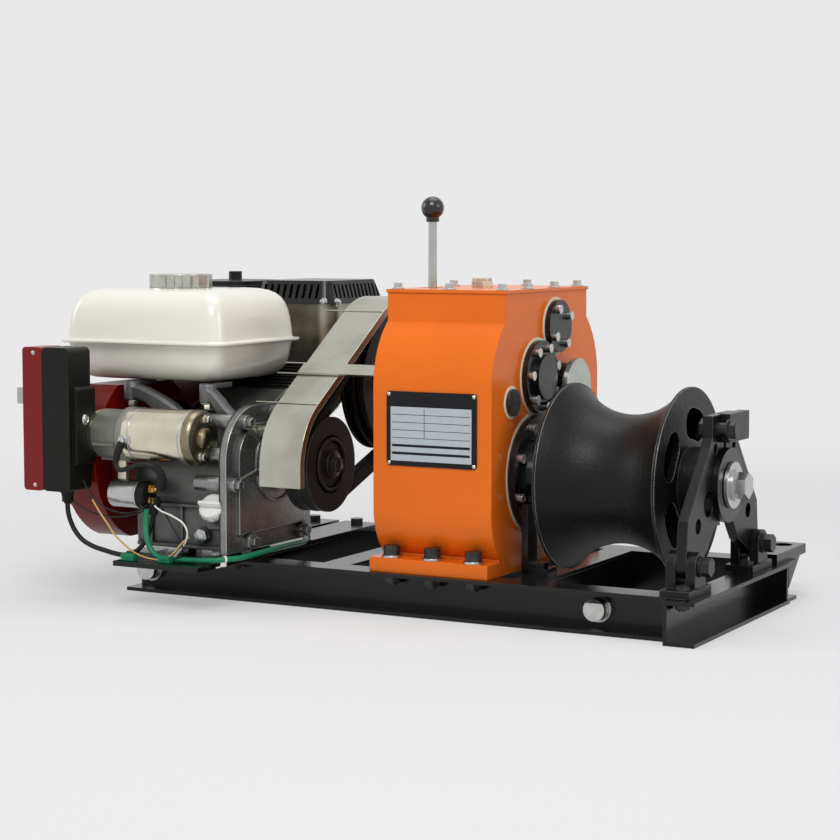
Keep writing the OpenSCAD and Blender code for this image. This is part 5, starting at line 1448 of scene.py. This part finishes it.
@dataclass
class EngineDetail:
    """Ribs and bosses of the castings, the gasket, the plug and its lead, and the neck."""

    axis: Point = (-125.0, 170.0)
    face: float = -338.0
    rib: float = 10.0
    ribs: tuple[Point, ...] = ((-193, 223), (-219, 150), (-125, 231), (-63, 212), (-49, 150))
    hub: Profile = ((46, -1), (50, -1), (49, 2.4), (47, 2.4), (46, -1))
    boss: float = 9.0
    boss_long: float = 40.0
    bosses: tuple[Point, ...] = ((-193, 223), (-219, 150), (-205, 184))
    seal: Profile = ((15.6, 0), (24, 0), (24, 1.6), (22, 2.2), (17, 1), (15.6, 1), (15.6, 0))
    seal_foot: float = -330.2
    gasket: tuple[float, float] = (-352.9, -351.6)
    gasket_round: tuple[Point, ...] = ((-165, 176), (-103, 176))
    gasket_radius: float = 66.6
    gasket_foot: float = 65.6
    wall: float = -199.0
    drain: Point = (-392, -206, 84)
    arms: tuple[tuple[float, float], ...] = ((-517.0, 66.0), (-404.0, 30.0))
    arm_row: float = -177.0
    arm_boss: Profile = ((9.5, 0), (10.5, 1.2), (10.5, 22.8), (9.8, 23.8))
    finger: tuple[Point, ...] = ((0, 255.5, 10), (0.35, 249.5, 10), (0.7, 237, 13), (1, 221, 19))
    plug: Point = (-450.0, 64.0, 259.0)
    plug_tilt: float = 25.0
    plug_body: Profile = ((10, -4), (10, 3), (7, 4), (7, 10), (5, 11), (5, 16))
    plug_cap: Profile = ((7, 0), (8.5, 1), (8.5, 9), (7.4, 11), (7.4, 17), (4, 19))
    lead_radius: float = 3.3
    lead: Route = ((0, 0, 0), (-12, -3, -5), (-26, -10, -12), (-36, -22, -22), (-42, -38, -32),
                   (-46, -56, -40))
    neck: Point = (-366.0, -205.0, 108.0)
    neck_lean: Point = (0.0, -0.819, 0.574)
    neck_rings: int = 4
    cap: Profile = ((12, 0.5), (16.2, 1.2), (16.8, 3), (16.8, 11), (15.6, 13.2), (6, 13.6))
    cap_grips: int = 18

    def build(self) -> None:
        """Makes every piece of the engine block's detail."""
        self._cover()
        self._case()
        self._spark_plug()
        self._neck()

    def _cover(self) -> None:
        """Makes the side cover's ribs, its long bosses, its seal and its gasket."""
        ribs = Form("cover_ribs")
        hub = Vector((self.face, *self.axis))
        for place in self.ribs:
            out = Vector((self.face, *place))
            ahead = (out - hub).normalized()
            ribs.rib(hub + ahead * 38, out - ahead * 6, Axis.RIGHT, self.rib, 2.6)
        ribs.turned(self.hub, hub, Axis.RIGHT, 72)
        boss = ((self.boss, 0), (self.boss * 1.05, self.boss_long),
                (self.boss * 0.9, self.boss_long + 2))
        for place in self.bosses:
            ribs.turned(boss, (self.face - 15 - self.boss_long, *place), Axis.RIGHT, 32)
        ribs.build(Stock.COVER_ALLOY, edge=0.8)
        Form("crank_seal").turned(self.seal, (self.seal_foot, *self.axis), Axis.RIGHT, 56).build(
            Stock.RUBBER)
        left, right = self.gasket_round
        radius, foot = self.gasket_radius, self.gasket_foot
        outline = [*arc(left, radius, 180, 90, 12), *arc(right, radius, 90, 0, 12),
                   (right[0] + radius, foot), (left[0] - radius, foot)]
        Form("cover_gasket").lofted([[(x, y, z) for y, z in outline] for x in self.gasket]).build(
            Stock.PAPER)

    def _case(self) -> None:
        """Makes the crankcase's ledges and drain plug, the arms and their bolts."""
        low, high = corners("crankcase")
        case = Form("case_ledges").block((low.x + 4, -207.5, 117), (high.x - 2, self.wall, 121))
        for x in (-470.0, -425.0):
            case.block((x - 2, -206.5, 68), (x + 2, self.wall, 118))
        case.block((low.x + 2, -208, 66.5), (high.x - 2, self.wall, 71))
        case.build(Stock.ALLOY, edge=0.9)
        self._arms()
        bolts = Form("engine_bolts").hexagon(self.drain, Axis.NEAR, 17, 9, 14)
        for x, _ in self.arms:
            bolts.bolt((x, self.arm_row, 243.2), Axis.DOWN, 12, 8)
        bolts.build(Stock.ZINC, edge=0.3)

    def _arms(self) -> None:
        """Casts the two fingers that carry the tank, in place of their plain solid."""
        arms = Form("cast_arms")
        for x, run in self.arms:
            arms.turned(self.arm_boss, (x, self.arm_row, 243), Axis.UP, 40)
            arms.block((x - 9, self.arm_row, 261), (x + 9, -136, 266.8))
            rings = [self._section(x + share * run, z, half) for share, z, half in self.finger]
            arms.lofted([*rings, self._section(x + run + 11, 213, 18)])
        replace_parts(arms.build(Stock.ARM_ALLOY, edge=1.2), "tank_arms")

    def _section(self, x: float, z: float, half: float) -> Route:
        """Draws one section of a cast finger.

        Args:
            x: Its place along X.
            z: The height of its middle.
            half: Half its height.

        Returns:
            The section's points.
        """
        side = ((-9, 4 - half), (-5, -half), (5, -half), (9, 4 - half))
        return [(x, self.arm_row + y, z + up) for y, up in (*side, *((-y, -up) for y, up in side))]

    def _spark_plug(self) -> None:
        """Makes the spark plug, its cap and the lead back to the fan housing."""
        root, out = Vector(self.plug), Vector((0.0, *around(self.plug_tilt)))
        Form("spark_plug").turned(self.plug_body, root, out, 24).build(Stock.ZINC)
        cap = Form("plug_cap").turned(self.plug_cap, root + out * 9, out, 28)
        cap.tube([root + out * 22, root + out * 24 + Vector((-8, 0, -1)),
                  root + out * 23 + Vector((-18, -1, -3))], 4.6, 16)
        cap.build(Stock.RUBBER)
        start = root + out * 23 + Vector((-16, -1, -3))
        run_cord("spark_lead", [start + Vector(step) for step in self.lead], self.lead_radius,
                 Stock.CABLE)

    def _neck(self) -> None:
        """Makes the ribbed filler neck and the grips on its white cap."""
        root, out = Vector(self.neck), Vector(self.neck_lean)
        rows = [(11.5, -6.0)]
        for foot in range(0, 4 * self.neck_rings, 4):
            rows += [(11.5, foot), (13.4, foot + 0.6), (13.4, foot + 2.4), (11.5, foot + 3)]
        rows.append((11.5, 16.4))
        Form("filler_neck").turned(rows, root, out, 40).build(Stock.GREY_PLASTIC)
        cap = Form("dipstick_cap").turned(self.cap, root + out * 16.6, out, 48)
        right = Vector(Axis.RIGHT.value)
        for index in range(self.cap_grips):
            across, up = around(360 * index / self.cap_grips, 16.9)
            side = right * across + out.cross(right) * up
            cap.tube([root + out * 19 + side, root + out * 27.4 + side], 0.9, 8)
        top = root + out * 29.8
        cap.rib(top - right * 15, top + right * 15, out, 6.0, 7.0)
        cap.build(Stock.WHITE_PLASTIC, "dipstick", edge=0.7)


@dataclass
class StarterDetail:
    """The starter's cast nose, end cap and terminal, and the solenoid's insulated end."""

    nose_long: float = 52.7
    nose: Profile = ((22, -1), (27, 1), (30.2, 6), (30.2, 40.7), (34.2, 43.7), (34.2, 50.7),
                     (33.7, 52.7))
    nose_ribs: tuple[float, ...] = (200.0, 250.0, 300.0)
    cap: Profile = ((34, -2), (34, 5), (32.4, 8.4), (26, 9.6), (13, 10), (12.4, 13.5),
                    (9.4, 15.6), (3, 15.8))
    seam: Profile = ((33.6, 0), (34.1, 0.4), (34.1, 2), (33.6, 2.4), (33.6, 0))
    can: Profile = ((15.5, -0.6), (17.3, 0.8), (17.3, 38), (18.1, 39), (18.1, 40.6), (16, 41))
    can_radius: float = 17.0
    can_end: Profile = ((17, 0), (17, 8), (14.5, 11), (8, 11.6))
    stud: Profile = ((3.1, 0), (3.1, 12), (2.4, 13))

    def build(self) -> None:
        """Makes the starter's and the solenoid's outer pieces."""
        low, high = corners("starter_motor")
        y, z = (low.y + high.y) / 2, (low.z + high.z) / 2
        nose = Form("starter_nose").turned(self.nose, (low.x, y, z), Axis.RIGHT, 64)
        for angle in self.nose_ribs:
            side = Vector((0, *around(angle)))
            at = Vector((low.x + 8, y, z)) + side * 31
            nose.rib(at, at + Vector((self.nose_long - 20, 0, 0)), side, 3.5, 2.6)
        nose.build(Stock.CAST_GREY, edge=0.7)
        end = high.x - 15
        Form("starter_cap").turned(self.cap, (end, y, z), Axis.RIGHT, 64).build(Stock.BRONZE)
        bolts = Form("starter_bolts")
        for side in (-1, 1):
            bolts.bolt((end + 9, y + side * 5, z + side * 22), Axis.RIGHT, 8.4, 10)
        for x in (low.x + self.nose_long + 8, end - 8):
            bolts.turned(self.seam, (x, y, z), Axis.RIGHT, 72)
        bolts.build(Stock.ZINC, edge=0.2)
        terminal = Form("starter_terminal").block((-478, y - 34.5, z - 8), (-462, y - 28, z + 2))
        terminal.bolt((-472, y - 34, z - 4), Axis.NEAR, 8, 12).build(Stock.ZINC, edge=0.4)
        self._solenoid()

    def _solenoid(self) -> None:
        """Makes the solenoid's rolled rim, black end, studs and nuts."""
        low, _ = corners("solenoid")
        x, y, z = low + Vector((0, self.can_radius, self.can_radius))
        Form("solenoid_can").turned(self.can, (x, y, z), Axis.RIGHT, 56).build(Stock.ZINC)
        Form("solenoid_end").turned(self.can_end, (x + 40.2, y, z), Axis.RIGHT, 48).build(
            Stock.BLACK_PLASTIC)
        brass = Form("solenoid_terminals")
        for side in (-1, 1):
            root, row, level = x + 50.5, y - 2, z + side * 7
            brass.turned(self.stud, (root, row, level), Axis.RIGHT, 20)
            brass.hexagon((root + 2, row, level), Axis.RIGHT, 9.5, 4.2, 14 * side)
            brass.hexagon((root + 7, row, level), Axis.RIGHT, 9.5, 3.4, 5 * side)
        brass.build(Stock.BRASS, edge=0.2)


@dataclass
class ControlDetail:
    """The switch box's slotted screw, its cable gland and the cover's rivets."""

    screw: Profile = ((6.4, 0), (6.4, 0.8), (5.4, 2.2), (3.2, 3.0), (1.2, 3.2))
    screw_level: float = 224.0
    gland: Profile = (
        (8.8, 0), (8.8, -3), (7.6, -4), (7.6, -6), (7, -7), (7, -9), (6.2, -10), (6.2, -12),
        (5.2, -13), (4.4, -16), (3.4, -17),
    )
    rivet: Profile = ((2.6, 0), (2.6, 1), (1.4, 1.6))

    def build(self) -> None:
        """Makes the box's small pieces."""
        _, box_high = corners("control_box")
        low, high = corners("control_cover")
        middle = (low.y + high.y) / 2
        at = Vector((box_high.x - 0.2, middle + 1, self.screw_level))
        screw = Form("box_screw").turned(self.screw, at, Axis.RIGHT, 36)
        centre = at + Vector((2.9, 0, 0))
        for side in (Vector((0, 2.6, 0)), Vector((0, 0, 2.6))):
            screw.rib(centre - side, centre + side, Axis.RIGHT, 0.9, 0.5)
        screw.build(Stock.ZINC)
        x = (high.x + box_high.x - 7) / 2
        Form("box_gland").turned(self.gland, (x, middle, low.z), Axis.UP, 32).build(Stock.RUBBER)
        seam = Form("box_seam")
        for z in (low.z + 7, high.z - 7):
            seam.turned(self.rivet, (high.x - 12, low.y + 0.4, z), Axis.NEAR, 20)
        seam.build(Stock.ZINC)


@dataclass
class ExhaustDetail:
    """Screws on the muffler's guard and seams round the air cleaner."""

    screw: float = 7.0
    seam: tuple[float, float, float] = (112.4, 138.4, 27.0)
    seam_high: float = 3.0
    seam_drops: tuple[float, ...] = (40.0, 78.0)
    cleaner: float = -545.0

    def build(self) -> None:
        """Makes the screws and the seams."""
        low, high = corners("muffler_guard")
        screws = Form("guard_screws")
        for x in (low.x + 10, high.x - 10):
            screws.bolt((x, low.y + 4, low.z + 3), Axis.NEAR, self.screw, 20)
        for y in (low.y + 20, high.y - 20):
            screws.bolt((high.x - 0.5, y, low.z + 2.5), Axis.RIGHT, self.screw, 20)
        screws.build(Stock.ZINC, edge=0.2)
        low, high = corners("air_cleaner")
        middle = (low.y + high.y) / 2
        seams = Form("cleaner_seam")
        for drop in self.seam_drops:
            foot = high.z - drop
            seams.lofted([[(self.cleaner + x, middle + y, z) for x, y in round_box(*self.seam)]
                          for z in (foot, foot + self.seam_high)])
        seams.build(Stock.ENGINE_BLACK, edge=0.6)


DRESSING: dict[Finish, tuple[str, ...]] = {
    Stock.FRAME: ("near_rail", "far_rail", "cross_members", "anchor_lug", "engine_bearer",
                  "flange_pillar"),
    Stock.ORANGE: ("gearbox_housing", "gearbox_cover"),
    Stock.ZINC: ("gearbox_screws", "drum_bolt", "lever_bracket"),
    Stock.CAP_ZINC: ("fuel_cap",),
    Stock.BOLT: ("clamp_bolt", "hinge_pins"),
    Stock.DARK_BOLTS: ("frame_bolts",),
    Stock.PLUG_METALS: ("oil_plugs",),
    Stock.CAPS: ("output_flange", "bearing_caps", "outboard_bearing", "muffler_guard"),
    Stock.DISC_GREY: ("seal_disc",),
    Stock.PLATE: ("rating_plate",),
    Stock.STEEL: ("shaft_bearings", "output_gear", "drum_shaft", "countershaft", "input_shaft",
                  "dog_ring", "shift_fork", "fork_rail", "shift_lever", "crankshaft",
                  "key_switch"),
    Stock.BALL: ("lever_knob",),
    Stock.BELL_IRON: ("drum",),
    Stock.ARM_IRON: ("near_arm", "far_arm", "hinge_clevises"),
    Stock.PULLEY: ("crank_pulley", "driven_pulley", "flywheel"),
    Stock.RUBBER: ("drive_belts",),
    Stock.SHEET: ("belt_guard",),
    Stock.ALLOY: ("crankcase",),
    Stock.COVER_ALLOY: ("side_cover",),
    Stock.ENGINE_BLACK: ("air_cleaner",),
    Stock.MUFFLER: ("muffler",),
    Stock.FIN_BLACK: ("engine_cylinder",),
    Stock.RED: ("blower_housing", "recoil_housing"),
    Stock.BLACK_PLASTIC: ("recoil_grip", "control_box"),
    Stock.RED_PLASTIC: ("control_cover",),
    Stock.STARTER_ZINC: ("starter_motor", "solenoid"),
    Stock.WHITE_PLASTIC: ("oil_dipstick",),
}


def main() -> None:
    """Builds the studio and each sub-assembly in order."""
    logging.basicConfig(level=logging.INFO, format="%(name)s: %(message)s")
    Studio().build()
    for assembly in (Wiring(), FrameDetail(), GearboxDetail(), BeltDetail(), FuelTank(),
                     EngineDetail(), StarterDetail(), ControlDetail(), ExhaustDetail()):
        assembly.build()
        LOG.info("%s is built", type(assembly).__name__)
    for finish, nodes in DRESSING.items():
        dress(finish, *nodes)


if __name__ == "__main__":
    main()
